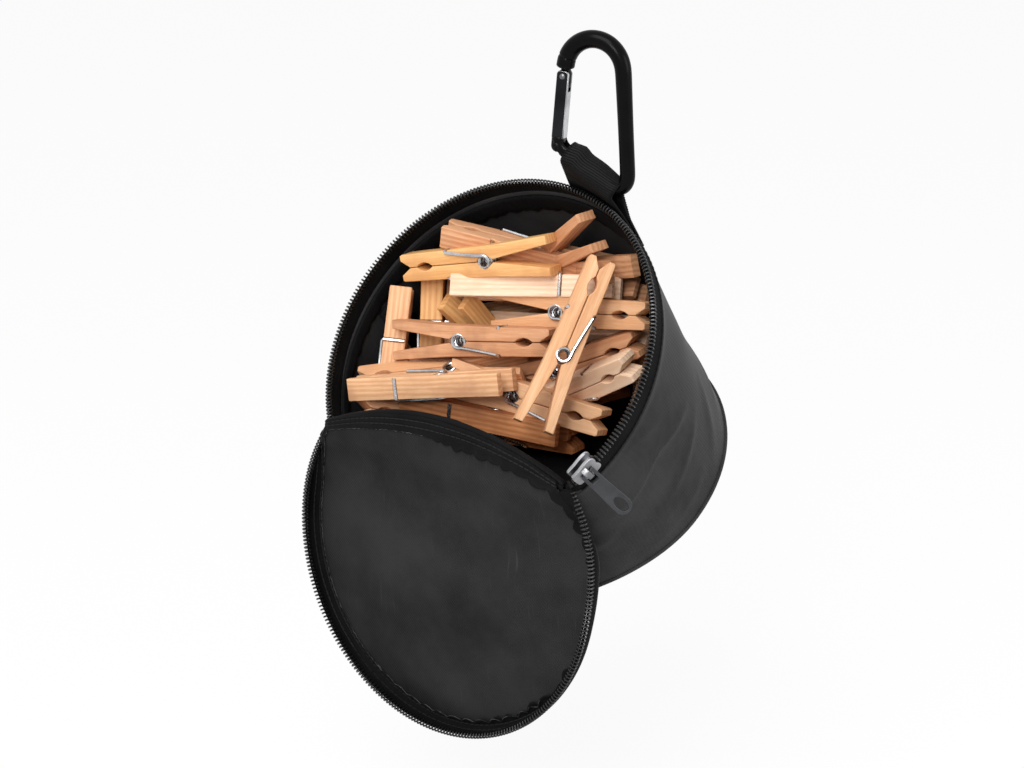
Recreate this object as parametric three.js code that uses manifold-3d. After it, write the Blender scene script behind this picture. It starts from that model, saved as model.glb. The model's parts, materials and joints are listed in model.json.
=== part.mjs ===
// A round zipped peg bag that hangs from a carabiner, its lid open.
// Millimetres, +Z up. The origin is the top of the carabiner's opening, where a clothes line carries it.
// X runs along the lid's hinge, and -Y is the side that the open mouth faces.
import * as THREE from 'three';
import { mergeVertices } from 'three/addons/utils/BufferGeometryUtils.js';
import Module from 'manifold-3d';

// Gaps and fits
const seat_gap = 0.3;
const pin_clearance = 0.1;
const running_clearance = 0.5;

// Bag
const mouth_r = 75;
const mouth_tilt = 54;
const hinge_offset = 45;
const base_r = 75;
const base_drop = 81.4;
const base_shift = 22;
const base_lean = 20;
const cloth_t = 1.2;
const seam_allowance = 7;
const seam_below_edge = 1.3;
const side_seam_side = -75;
const side_seam_above_base = 8;

// Zip
const coil_w = 2.2;
const coil_h = 2;
const coil_gap = 1.4;
const tape_h = 11;
const tape_t = 0.7;
const stop_l = 2.4;
const zip_end_margin = 3;

// Slider and its pull tab
const slider_l = 11.6;
const slider_w = 9;
const slider_tail_w = 7.2;
const slider_plate_t = 0.8;
const slider_lip = 0.9;
const slider_to_end = 1.5;
const wedge_setback = 1;
const lid_coil_before_slider = 2.2;
const bridge_t = 0.8;
const bridge_clearance = 0.2;
const bridge_l = 2.6;
const bridge_span = 6.2;
const tab_l = 23;
const tab_w = 7.4;
const tab_t = 0.9;
const tab_hole_l = 7;
const tab_hole_w = 4;
const tab_hang = 35.6;

// Lid
const lid_open = 213.5;
const lid_rise = 0.1;
const lid_band = 11;
const lid_hinge_gap = 2.3;
const lid_zip_from_hinge = 7;
const fold_rise = 14;
const fold_t = 2.9;
const hinge_blend = 6;

// Carabiner
const bar_d = 6.8;
const top_bend_r = 12.5;
const corner_x = 15.6;
const corner_drop = 60;
const corner_bend_r = 4.5;
const pivot_x = 15.2;
const pivot_drop = 40.6;
const carabiner_turn = 12;
const gate_d = 6.4;
const tongue_t = 2.2;
const tongue_step = 1;
const gate_pin_d = 2.2;
const latch_pin_d = 1.8;
const latch_drop = 3.4;
const plunger_d = 2.5;
const plunger_l = 3.5;
const spring_bore_l = 17;
const spring_turns = 7;
const spring_wire = 0.4;

// Hanging loop of webbing
const loop_side = 16.4;
const strap_t = 1.2;
const strap_w_bar = 18;
const strap_w_rim = 30;
const strap_foot = 12;
const rim_below_bar = 11.2;
const loop_slack = 0.8;
const strap_wrap_front = 36;
const strap_wrap_back = 5;

// Facets
const rim_steps = 48;
const hinge_steps = 20;
const fold_steps = 16;
const bar_steps = 60;
const round_sides = 12;
const coil_sides = 8;
const spring_sides = 6;
const spring_turn_steps = 8;
const strap_arc_steps = 8;
const strap_spans = 4;

const wasm = await Module();
wasm.setup();

const degrees = THREE.MathUtils.degToRad;

// Closed mesh to solid, and back
function solidOf(geometry) {
  const bare = geometry.clone();
  bare.deleteAttribute('normal');
  bare.deleteAttribute('uv');
  const merged = mergeVertices(bare, 1e-4);
  const mesh = new wasm.Mesh({
    numProp: 3,
    vertProperties: new Float32Array(merged.attributes.position.array),
    triVerts: new Uint32Array(merged.index.array),
  });
  mesh.merge();
  return new wasm.Manifold(mesh);
}

function geometryOf(solid) {
  const mesh = solid.getMesh();
  const geometry = new THREE.BufferGeometry();
  geometry.setAttribute('position', new THREE.BufferAttribute(new Float32Array(mesh.vertProperties), 3));
  geometry.setIndex(new THREE.BufferAttribute(new Uint32Array(mesh.triVerts), 1));
  return geometry;
}

function joined(geometries) {
  return geometryOf(geometries.map(solidOf).reduce((sum, next) => sum.add(next)));
}

function cut(geometry, tools) {
  return geometryOf(tools.map(solidOf).reduce((rest, tool) => rest.subtract(tool), solidOf(geometry)));
}

// A solid through a row of sections with equal, even point counts: capped at its ends, or closed as a ring.
// A cap is a ladder of quads between the first and the second half of a section's points.
function loft(sections, ring = false) {
  const count = sections[0].length;
  const positions = sections.flat().flatMap((point) => point.toArray());
  const triangles = [];
  const spans = ring ? sections.length : sections.length - 1;
  for (let span = 0; span < spans; span += 1) {
    const here = span * count;
    const there = ((span + 1) % sections.length) * count;
    for (let corner = 0; corner < count; corner += 1) {
      const next = (corner + 1) % count;
      triangles.push(here + corner, there + corner, there + next, here + corner, there + next, here + next);
    }
  }
  if (!ring) {
    const last = (sections.length - 1) * count;
    for (let low = 0; low < count / 2 - 1; low += 1) {
      const high = count - 1 - low;
      triangles.push(low, low + 1, high - 1, low, high - 1, high);
      triangles.push(last + low, last + high - 1, last + low + 1, last + low, last + high, last + high - 1);
    }
  }
  const geometry = new THREE.BufferGeometry();
  geometry.setAttribute('position', new THREE.Float32BufferAttribute(positions, 3));
  geometry.setIndex(facesOut(positions, triangles));
  return geometry;
}

function facesOut(positions, triangles) {
  const corner = (index) => new THREE.Vector3().fromArray(positions, 3 * index);
  let volume = 0;
  for (let first = 0; first < triangles.length; first += 3) {
    const [a, b, c] = triangles.slice(first, first + 3).map(corner);
    volume += a.dot(b.cross(c));
  }
  return volume < 0 ? triangles.reverse() : triangles;
}

function tube(curve, radius, sides, steps) {
  const section = new THREE.Shape();
  section.absarc(0, 0, radius, 0, 2 * Math.PI);
  return new THREE.ExtrudeGeometry(section, {
    steps,
    curveSegments: sides / 2,
    bevelEnabled: false,
    extrudePath: curve,
  });
}

// A plate of the given outline in X and Z, its thickness centred on the given Y
function plateXZ(outline, thickness, middle = 0, segments = 5) {
  const plate = new THREE.ExtrudeGeometry(outline, {
    depth: thickness,
    bevelEnabled: false,
    curveSegments: segments,
  });
  plate.rotateX(Math.PI / 2);
  plate.translate(0, middle + thickness / 2, 0);
  return plate;
}

function boxBetween(low, high) {
  const box = new THREE.BoxGeometry(high[0] - low[0], high[1] - low[1], high[2] - low[2]);
  box.translate((low[0] + high[0]) / 2, (low[1] + high[1]) / 2, (low[2] + high[2]) / 2);
  return box;
}

// A pin or hole along Y
function roundAlongY(diameter, length) {
  return new THREE.CylinderGeometry(diameter / 2, diameter / 2, length, round_sides);
}

function addPiece(parent, name, geometry, finish) {
  const mesh = new THREE.Mesh(geometry, new THREE.MeshStandardMaterial(finish));
  mesh.name = name;
  parent.add(mesh);
  return mesh;
}

const nylon = { color: 0x2b2b2d, roughness: 0.55, metalness: 0 };
const lining = { color: 0x1d1d1f, roughness: 0.75, metalness: 0 };
const zip_cloth = { color: 0x141415, roughness: 0.85, metalness: 0 };
const zip_plastic = { color: 0x0c0c0d, roughness: 0.35, metalness: 0 };
const webbing = { color: 0x101011, roughness: 0.8, metalness: 0 };
const black_anodised = { color: 0x0b0b0c, roughness: 0.25, metalness: 0.6 };
const bare_aluminium = { color: 0x8a8d92, roughness: 0.3, metalness: 1 };
const steel = { color: 0x9a9b9e, roughness: 0.35, metalness: 1 };
const zinc_cast = { color: 0xa9abad, roughness: 0.45, metalness: 1 };
const painted_zinc = { color: 0x3a3b3d, roughness: 0.5, metalness: 0.4 };

const bag_on_line = new THREE.Group();

// Carabiner: a bent aluminium bar that a sprung gate closes on its left
const bar_r = bar_d / 2;
const carabiner = new THREE.Group();
carabiner.rotation.z = degrees(carabiner_turn);
bag_on_line.add(carabiner);

const bend_drop = top_bend_r - bar_r;
const pivot = new THREE.Vector2(-pivot_x, -pivot_drop);
const corner = new THREE.Vector2(corner_x, -corner_drop);
const bend_centre = new THREE.Vector2(0, -bend_drop);
const along_bar = pivot.clone().sub(corner).normalize();
const to_corner = corner.clone().sub(bend_centre);
const leg_meets_bend = Math.acos(top_bend_r / to_corner.length()) + to_corner.angle() - 2 * Math.PI;
const leg_top = bend_centre
  .clone()
  .add(new THREE.Vector2(Math.cos(leg_meets_bend), Math.sin(leg_meets_bend)).multiplyScalar(top_bend_r));
const along_leg = leg_top.clone().sub(corner).normalize();

const gate_round = gate_d / 2;
const bar_start = gate_round + running_clearance + seat_gap;
const corner_angle = Math.acos(along_bar.dot(along_leg));
const corner_cut = corner_bend_r / Math.tan(corner_angle / 2);
const bar_end = corner.clone().addScaledVector(along_bar, corner_cut);
const leg_start = corner.clone().addScaledVector(along_leg, corner_cut);

const bar_line = new THREE.Path();
bar_line.moveTo(pivot.x - along_bar.x * bar_start, pivot.y - along_bar.y * bar_start);
bar_line.lineTo(bar_end.x, bar_end.y);
bar_line.quadraticCurveTo(corner.x, corner.y, leg_start.x, leg_start.y);
bar_line.lineTo(leg_top.x, leg_top.y);
bar_line.absarc(bend_centre.x, bend_centre.y, top_bend_r, leg_meets_bend, Math.PI, false);
const bar_points = bar_line
  .getSpacedPoints(bar_steps)
  .map((point) => new THREE.Vector3(point.x, 0, point.y));
const bar_tube = tube(new THREE.CatmullRomCurve3(bar_points), bar_r, round_sides, bar_steps);

// The gate's own frame: its pivot at the origin and its length along Z
const nose = new THREE.Vector2(-top_bend_r, -bend_drop);
const gate_line = nose.clone().sub(pivot);
const gate_lean = Math.atan2(gate_line.x, gate_line.y);
const gate_l = gate_line.length() - seat_gap - running_clearance;
const gate_frame = new THREE.Group();
gate_frame.position.set(pivot.x, 0, pivot.y);
gate_frame.rotation.y = gate_lean;
gate_frame.updateMatrix();
carabiner.add(gate_frame);

const slot_w = tongue_t + 2 * seat_gap;
const tongue_l = 2 * latch_drop;
const tongue_h = gate_d - 2 * tongue_step;
const latch_z = gate_l - latch_drop;
const latch_slot = latch_pin_d + running_clearance;
const tongue = cut(
  boxBetween([-tongue_h / 2, -tongue_t / 2, gate_l - tongue_l], [tongue_h / 2, tongue_t / 2, gate_l + bar_r]),
  [
    boxBetween([0, -tongue_t, latch_z - latch_slot / 2], [tongue_h, tongue_t, latch_z + latch_slot / 2]),
    roundAlongY(latch_slot, 2 * tongue_t).translate(0, 0, latch_z),
  ],
);
tongue.applyMatrix4(gate_frame.matrix);

const lug_r = gate_round - 2 * seat_gap;
const lug_l = bar_start + bar_r;
const lug = cut(
  joined([
    roundAlongY(2 * lug_r, tongue_t),
    boxBetween([0, -tongue_t / 2, -lug_r], [lug_l, tongue_t / 2, lug_r]),
  ]),
  [roundAlongY(gate_pin_d + 2 * pin_clearance, 2 * tongue_t)],
);
lug.rotateY(Math.atan2(along_bar.y, -along_bar.x));
lug.translate(pivot.x, 0, pivot.y);
addPiece(carabiner, 'carabiner_frame', joined([bar_tube, tongue, lug]), black_anodised);

const spring_bore_d = plunger_d + 2 * seat_gap;
const slot_top = lug_r + seat_gap;
const bore_end = slot_top + spring_bore_l;
const gate_bar = new THREE.CylinderGeometry(gate_round, gate_round, gate_l, round_sides);
gate_bar.rotateX(Math.PI / 2).translate(0, 0, gate_l / 2);
const gate_foot = geometryOf(
  solidOf(roundAlongY(gate_d, gate_d)).intersect(
    solidOf(
      new THREE.CylinderGeometry(gate_round, gate_round, 2 * gate_d, round_sides).rotateX(Math.PI / 2),
    ),
  ),
);
const spring_bore = new THREE.CylinderGeometry(spring_bore_d / 2, spring_bore_d / 2, bore_end, round_sides);
spring_bore.rotateX(Math.PI / 2).translate(0, 0, bore_end / 2);
const gate = cut(joined([gate_bar, gate_foot]), [
  boxBetween([-gate_d, -slot_w / 2, -gate_d], [gate_d, slot_w / 2, slot_top]),
  boxBetween([-gate_d, -slot_w / 2, gate_l - tongue_l - running_clearance], [gate_d, slot_w / 2, 2 * gate_l]),
  spring_bore,
  roundAlongY(gate_pin_d + 2 * pin_clearance, 2 * gate_d),
  roundAlongY(latch_pin_d + 2 * pin_clearance, 2 * gate_d).translate(0, 0, latch_z),
]);
addPiece(gate_frame, 'carabiner_gate', gate, bare_aluminium);
const pin_l = gate_d - 4 * seat_gap;
addPiece(gate_frame, 'gate_pivot_pin', roundAlongY(gate_pin_d, pin_l), steel);
addPiece(gate_frame, 'gate_latch_pin', roundAlongY(latch_pin_d, pin_l).translate(0, 0, latch_z), steel);

const plunger = new THREE.LatheGeometry(
  [
    new THREE.Vector2(0, 0),
    new THREE.Vector2(plunger_d / 4, 0),
    new THREE.Vector2(plunger_d / 2, plunger_d / 4),
    new THREE.Vector2(plunger_d / 2, plunger_l),
    new THREE.Vector2(0, plunger_l),
  ],
  round_sides,
);
plunger.rotateX(Math.PI / 2).translate(0, 0, slot_top);
addPiece(gate_frame, 'gate_plunger', plunger, steel);

class SpringCurve extends THREE.Curve {
  constructor(radius, start, length, turns) {
    super();
    Object.assign(this, { radius, start, length, turns });
  }
  getPoint(share, target = new THREE.Vector3()) {
    const turn = 2 * Math.PI * this.turns * share;
    const height = this.start + this.length * share;
    return target.set(this.radius * Math.cos(turn), this.radius * Math.sin(turn), height);
  }
}
const spring_start = slot_top + plunger_l + seat_gap + spring_wire / 2;
const spring_l = bore_end - seat_gap - spring_wire / 2 - spring_start;
const spring_r = (plunger_d - spring_wire) / 2;
const spring_curve = new SpringCurve(spring_r, spring_start, spring_l, spring_turns);
const spring_steps = spring_turn_steps * spring_turns;
addPiece(gate_frame, 'gate_spring', tube(spring_curve, spring_wire / 2, spring_sides, spring_steps), steel);

// Bag: its own frame has the mouth's plane at Z = 0, with Y up the slope of the mouth
const bar_middle = bar_end.clone().add(pivot).addScaledVector(along_bar, -bar_start).multiplyScalar(0.5);
const turn = new THREE.Vector2(Math.cos(degrees(carabiner_turn)), Math.sin(degrees(carabiner_turn)));
const bar_centre = new THREE.Vector3(bar_middle.x * turn.x, bar_middle.x * turn.y, bar_middle.y);
const bag = new THREE.Group();
bag.rotation.x = degrees(mouth_tilt);
const loop_angle = degrees(loop_side);
const rim_at_loop = new THREE.Vector3(Math.sin(loop_angle), Math.cos(loop_angle), 0)
  .multiplyScalar(mouth_r)
  .applyEuler(bag.rotation);
bag.position.copy(bar_centre).sub(rim_at_loop);
bag.position.z -= rim_below_bar;
bag.updateMatrix();
bag_on_line.add(bag);

// Angles round the mouth start at its top and run clockwise, seen from outside.
const zip_half = Math.acos(-hinge_offset / mouth_r);
const coil_half = zip_half - zip_end_margin / mouth_r;

function anglesBetween(start, end, steps) {
  return Array.from({ length: steps + 1 }, (_, step) => start + ((end - start) * step) / steps);
}

function onRim(angle, radius, height) {
  return new THREE.Vector3(radius * Math.sin(angle), radius * Math.cos(angle), height);
}

function rimBand(start, end, steps, profile) {
  return loft(
    anglesBetween(start, end, steps).map((angle) => profile(angle).map(([r, z]) => onRim(angle, r, z))),
  );
}

// Wall: a strip sewn into a tube. share is 0 at its top edge and 1 at the base, stand_off is outward.
const wall_top = tape_h + seat_gap;
const wall_top_at_hinge = fold_t + seat_gap;
const base_axis_tilt = degrees(base_lean);

function wallPoint(angle, share, stand_off) {
  const past_zip = Math.abs(angle) - zip_half;
  const blend = THREE.MathUtils.smoothstep(past_zip, 0, degrees(hinge_blend));
  const top_r = past_zip > 0 ? hinge_offset / Math.abs(Math.cos(angle)) : mouth_r;
  const top = onRim(angle, top_r + stand_off, -THREE.MathUtils.lerp(wall_top, wall_top_at_hinge, blend));
  const foot = new THREE.Vector3(
    (base_r + stand_off) * Math.sin(angle),
    (base_r + stand_off) * Math.cos(angle) * Math.cos(base_axis_tilt) - base_shift,
    -(base_r + stand_off) * Math.cos(angle) * Math.sin(base_axis_tilt) - base_drop,
  );
  return top.lerp(foot, share);
}

function wallPatch(angles, shares, stand_offs, ring = false) {
  const [near, far] = stand_offs;
  const loop = (angle) => [
    ...shares.map((share) => wallPoint(angle, share, far)),
    ...[...shares].reverse().map((share) => wallPoint(angle, share, near)),
  ];
  return loft(angles.map(loop), ring);
}

const half_cloth = cloth_t / 2;
const around = [
  ...anglesBetween(-zip_half, zip_half, rim_steps),
  ...anglesBetween(zip_half, 2 * Math.PI - zip_half, hinge_steps).slice(1, -1),
].map((angle) => (angle > Math.PI ? angle - 2 * Math.PI : angle));
addPiece(bag, 'wall_panel', wallPatch(around, [0, 0.5, 1], [-half_cloth, half_cloth], true), nylon);

const inner_layer = [-half_cloth - seat_gap - cloth_t / 2, -half_cloth - seat_gap];
const wall_l = base_drop - wall_top;
const rim_seam_shares = [seam_below_edge / wall_l, (seam_below_edge + seam_allowance) / wall_l];
addPiece(
  bag,
  'rim_seam_allowance',
  wallPatch(anglesBetween(-coil_half, coil_half, rim_steps), rim_seam_shares, inner_layer),
  lining,
);
const side_seam_at = degrees(side_seam_side);
const side_seam_half = seam_allowance / mouth_r;
const side_seam_angles = [side_seam_at - side_seam_half, side_seam_at, side_seam_at + side_seam_half];
const side_seam_shares = [rim_seam_shares[1] + seat_gap / wall_l, 1 - side_seam_above_base / wall_l];
addPiece(bag, 'side_seam_allowance', wallPatch(side_seam_angles, side_seam_shares, inner_layer), lining);

const base = new THREE.Group();
base.position.set(0, -base_shift, -base_drop);
base.rotation.x = -base_axis_tilt;
bag.add(base);
const base_disc_r = base_r + half_cloth;
const base_disc = new THREE.CylinderGeometry(base_disc_r, base_disc_r, cloth_t, rim_steps);
base_disc.rotateX(Math.PI / 2).translate(0, 0, -seat_gap - half_cloth);
addPiece(base, 'base_panel', base_disc, nylon);
const base_seam_r = base_r - 2 * cloth_t;
const base_seam = new THREE.LatheGeometry(
  [
    new THREE.Vector2(base_seam_r - seam_allowance, 0),
    new THREE.Vector2(base_seam_r, 0),
    new THREE.Vector2(base_seam_r, half_cloth),
    new THREE.Vector2(base_seam_r - seam_allowance, half_cloth),
    new THREE.Vector2(base_seam_r - seam_allowance, 0),
  ],
  rim_steps,
);
base_seam.rotateX(Math.PI / 2);
addPiece(base, 'base_seam_allowance', base_seam, lining);

// Zip half on the bag: coil, tape and end stops
const coil_low = coil_gap / 2;
const coil_high = coil_low + coil_h;

function coilProfile(sign) {
  const middle = (sign * (coil_low + coil_high)) / 2;
  return anglesBetween(0, 2 * Math.PI, coil_sides)
    .slice(1)
    .map((part) => [mouth_r + (coil_w / 2) * Math.cos(part), middle + (coil_h / 2) * Math.sin(part)]);
}

function boxProfile(r_low, r_high, z_low, z_high) {
  return [
    [r_low, z_low],
    [r_high, z_low],
    [r_high, z_high],
    [r_low, z_high],
  ];
}

const half_tape = tape_t / 2;
const body_coil = rimBand(-coil_half, coil_half, rim_steps, () => coilProfile(-1));
addPiece(bag, 'body_zip_coil', body_coil, zip_plastic);
addPiece(
  bag,
  'body_zip_tape',
  rimBand(-coil_half, coil_half, rim_steps, () =>
    boxProfile(mouth_r - half_tape, mouth_r + half_tape, -tape_h, -coil_high - seat_gap),
  ),
  zip_cloth,
);
const stop_start = coil_half + seat_gap / mouth_r;
const stop_end = stop_start + stop_l / mouth_r;
const stopProfile = (sign) => () =>
  boxProfile(
    mouth_r - coil_w / 2,
    mouth_r + coil_w / 2,
    sign > 0 ? coil_low : -coil_high,
    sign > 0 ? coil_high : -coil_low,
  );
addPiece(bag, 'zip_bottom_stop', rimBand(stop_start, stop_end, 1, stopProfile(-1)), zinc_cast);
addPiece(bag, 'body_zip_top_stop', rimBand(-stop_end, -stop_start, 1, stopProfile(-1)), zinc_cast);

// Slider: two plates joined by a wedge between the coils, with lips under the bag's coil.
// Its own frame has X along the zip toward the hinge, Y outward and Z out of the mouth.
const half_l = slider_l / 2;
const slider_at = coil_half - (half_l + slider_to_end) / mouth_r;
const slider = new THREE.Group();
slider.position.copy(onRim(slider_at, mouth_r, 0));
slider.rotation.z = -slider_at;
bag.add(slider);

const bow = slider_l ** 2 / (8 * mouth_r);
const channel = coil_w / 2 + running_clearance;
const plate_outer = channel + slider_plate_t;
const half_w = slider_w / 2;
const half_tail = slider_tail_w / 2;
const waist = half_l / 3;
const plate_outline = new THREE.Shape();
plate_outline.moveTo(half_l, -half_tail);
plate_outline.quadraticCurveTo(half_l - slider_plate_t, 0, half_l, half_tail);
plate_outline.quadraticCurveTo(waist, half_tail - slider_plate_t, 0, half_w);
plate_outline.quadraticCurveTo(-half_l, half_w, -half_l, 0);
plate_outline.quadraticCurveTo(-half_l, -half_w, 0, -half_w);
plate_outline.quadraticCurveTo(waist, slider_plate_t - half_tail, half_l, -half_tail);
const plate_middle = channel + slider_plate_t / 2;
const wedge_h = coil_low - running_clearance / 2;
const lip_z = coil_high + seat_gap + running_clearance;
const lip_gap = half_tape + bow + running_clearance / 2;
const bridge_half = bridge_span / 2;
const bridge_rise = tab_t + 2 * bridge_clearance;
const bridge_top = plate_outer + bridge_rise + bridge_t;
const bridge = cut(
  boxBetween([-bridge_l / 2, plate_outer - seat_gap, -bridge_half], [bridge_l / 2, bridge_top, bridge_half]),
  [
    boxBetween(
      [-bridge_l, plate_outer, bridge_t - bridge_half],
      [bridge_l, plate_outer + bridge_rise, bridge_half - bridge_t],
    ),
  ],
);
const lips = [-1, 1].map((side) => {
  const y_ends = [side * lip_gap, side * (channel + slider_plate_t / 2)].sort((a, b) => a - b);
  return boxBetween(
    [-waist, y_ends[0], -lip_z - slider_lip],
    [waist, y_ends[1], -lip_z],
  );
});
addPiece(
  slider,
  'slider_body',
  joined([
    plateXZ(plate_outline, slider_plate_t, plate_middle),
    plateXZ(plate_outline, slider_plate_t, -plate_middle),
    boxBetween([wedge_setback - half_l, -plate_middle, -wedge_h], [-waist, plate_middle, wedge_h]),
    bridge,
    ...lips,
  ]),
  zinc_cast,
);

// Pull tab: a flat plate with a finger hole, its top bar held under the slider's bridge
const tab = new THREE.Group();
tab.position.set(0, plate_outer + bridge_rise / 2, 0);
tab.rotation.x = degrees(tab_hang);
slider.add(tab);
const half_tab = tab_w / 2;
const window_half = bridge_l / 2 + running_clearance;
const window_top = -tab_t / 2;
const window_bottom = -(bridge_half + bridge_rise);
const tab_outline = new THREE.Shape();
tab_outline.moveTo(-half_tab, tab_t / 2);
tab_outline.lineTo(-half_tab, half_tab - tab_l);
tab_outline.absarc(0, half_tab - tab_l, half_tab, Math.PI, 2 * Math.PI, false);
tab_outline.lineTo(half_tab, tab_t / 2);
const tab_window = new THREE.Path();
tab_window.moveTo(-window_half, window_top);
tab_window.lineTo(window_half, window_top);
tab_window.lineTo(window_half, window_bottom);
tab_window.lineTo(-window_half, window_bottom);
const finger_hole = new THREE.Path();
finger_hole.absellipse(0, half_tab - tab_l + tab_t, tab_hole_w / 2, tab_hole_l / 2, 0, 2 * Math.PI, true);
tab_outline.holes.push(tab_window, finger_hole);
addPiece(tab, 'pull_tab', plateXZ(tab_outline, tab_t, 0, 8), painted_zinc);

// Lid: its own frame is the closed lid's, with the hinge along X at the origin and the mouth in Y
const lid = new THREE.Group();
lid.position.set(0, -hinge_offset, 0);
lid.rotation.x = degrees(lid_open);
bag.add(lid);

const from_hinge = (point) => point.add(new THREE.Vector3(0, hinge_offset, 0));

function lidBand(start, end, steps, profile) {
  const band = rimBand(start, end, steps, profile);
  return band.translate(0, hinge_offset, 0);
}

const lid_coil_end = slider_at - (half_l + lid_coil_before_slider) / mouth_r;
const lid_zip_half = Math.acos((lid_zip_from_hinge - hinge_offset) / mouth_r);
const lid_coil = lidBand(-lid_zip_half, lid_coil_end, rim_steps, () => coilProfile(1));
addPiece(lid, 'lid_zip_coil', lid_coil, zip_plastic);
const lid_stop_start = lid_zip_half + seat_gap / mouth_r;
const lid_stop_end = lid_stop_start + stop_l / mouth_r;
addPiece(lid, 'lid_zip_top_stop', lidBand(-lid_stop_end, -lid_stop_start, 1, stopProfile(1)), zinc_cast);

// The panel's edge steps in from the coil toward the hinge, and rises from it away from the hinge.
function panelEdge(angle, step_in = 0) {
  const share = (mouth_r * Math.cos(angle) + hinge_offset) / (mouth_r + hinge_offset);
  const edge = onRim(angle, mouth_r - lid_band * (1 - share) - step_in, 0);
  return from_hinge(edge);
}

const panel_slope = Math.atan(lid_rise);
const panel_plane = new THREE.Group();
panel_plane.rotation.x = panel_slope;
lid.add(panel_plane);
const stretch = 1 / Math.cos(panel_slope);
const panel_outline = new THREE.Shape(
  anglesBetween(-zip_half, zip_half, rim_steps).map((angle) => {
    const edge = panelEdge(angle);
    return new THREE.Vector2(edge.x, edge.y * stretch);
  }),
);
const flat_cloth = { depth: cloth_t, bevelEnabled: false };
addPiece(panel_plane, 'lid_panel', new THREE.ExtrudeGeometry(panel_outline, flat_cloth), nylon);

const panel_hinge_y = panelEdge(zip_half).y * stretch;
const hinge_half = panelEdge(zip_half).x;
const hinge_band = boxBetween(
  [-hinge_half, lid_hinge_gap, 0],
  [hinge_half, panel_hinge_y - seat_gap, cloth_t],
);
addPiece(panel_plane, 'lid_hinge_band', hinge_band, lining);

const allowance_edge = cloth_t;
const allowance_half = zip_half - seam_allowance / mouth_r;
const lid_allowance = loft(
  anglesBetween(-allowance_half, allowance_half, rim_steps).map((angle) => {
    const outer = panelEdge(angle, allowance_edge);
    const inner = panelEdge(angle, allowance_edge + seam_allowance);
    const under = -seat_gap;
    return [
      new THREE.Vector3(inner.x, inner.y * stretch, under - half_cloth),
      new THREE.Vector3(outer.x, outer.y * stretch, under - half_cloth),
      new THREE.Vector3(outer.x, outer.y * stretch, under),
      new THREE.Vector3(inner.x, inner.y * stretch, under),
    ];
  }),
);
addPiece(panel_plane, 'lid_seam_allowance', lid_allowance, lining);

// Tape from the lid's coil to the panel's edge
const tape_from_panel = seat_gap + half_tape / 2;
const lid_tape = loft(
  anglesBetween(-lid_zip_half, lid_zip_half, rim_steps).map((angle) => {
    const at_coil = from_hinge(onRim(angle, mouth_r, coil_high + seat_gap + half_tape));
    const edge = panelEdge(angle);
    const at_panel = new THREE.Vector3(edge.x, edge.y, edge.y * lid_rise);
    const along = at_coil.clone().sub(at_panel).normalize();
    at_panel.addScaledVector(along, tape_from_panel);
    const round_rim = new THREE.Vector3(Math.cos(angle), -Math.sin(angle), 0);
    const across = round_rim.cross(along).normalize().multiplyScalar(half_tape);
    return [
      at_coil.clone().sub(across),
      at_panel.clone().sub(across),
      at_panel.clone().add(across),
      at_coil.clone().add(across),
    ];
  }),
);
addPiece(lid, 'lid_zip_tape', lid_tape, zip_cloth);

// Hinge: the cloth between wall and lid, folded over in a low arch while the lid hangs
const fold = new THREE.Group();
fold.position.copy(lid.position);
fold.rotation.x = -bag.rotation.x;
bag.add(fold);
const fold_half = hinge_offset * Math.tan(Math.PI - zip_half) - zip_end_margin;
const fold_low = -(lid_hinge_gap - 2 * seat_gap);
const half_fold = fold_t / 2;
const hinge_fold = loft(
  anglesBetween(-1, 1, fold_steps).map((share) => {
    const crest = half_fold + fold_rise * (1 - share * share);
    const outline = [
      [-half_fold, fold_low],
      [half_fold, fold_low],
      [half_fold, crest - half_fold],
      [half_fold / 2, crest],
      [-half_fold / 2, crest],
      [-half_fold, crest - half_fold],
    ];
    return outline.map(([y, z]) => new THREE.Vector3(share * fold_half, y, z));
  }),
);
addPiece(fold, 'hinge_fold', hinge_fold, lining);

// Hanging loop: webbing that goes round the carabiner's bar, both ends sewn to the wall under the rim
const bar_axis = new THREE.Vector3(along_bar.x * turn.x, along_bar.x * turn.y, along_bar.y).negate();
const loop_r = bar_r + loop_slack + strap_t / 2;
const foot_share = strap_foot / wall_l;
const first_layer = half_cloth + seat_gap + strap_t / 2;
const strap_layers = [first_layer, first_layer + strap_t + seat_gap];
const strap_turns_from = Math.PI + degrees(strap_wrap_front);
const strap_turns_to = -degrees(strap_wrap_back);

function strapLine(side) {
  const rim_angle = loop_angle + (side * strap_w_rim) / 2 / mouth_r;
  const onWall = (share, layer) => wallPoint(rim_angle, share, strap_layers[layer]).applyMatrix4(bag.matrix);
  const centre = bar_centre.clone().addScaledVector(bar_axis, (side * strap_w_bar) / 2);
  const outward = bar_axis.clone().cross(new THREE.Vector3(0, 0, 1)).normalize().negate();
  const up = outward.clone().cross(bar_axis).normalize();
  if (up.z < 0) up.negate();
  const over_bar = anglesBetween(strap_turns_from, strap_turns_to, strap_arc_steps).map((part) =>
    centre
      .clone()
      .addScaledVector(outward, loop_r * Math.cos(part))
      .addScaledVector(up, loop_r * Math.sin(part)),
  );
  return [onWall(foot_share, 0), onWall(0, 0), ...over_bar, onWall(0, 1), onWall(foot_share, 1)];
}

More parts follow.
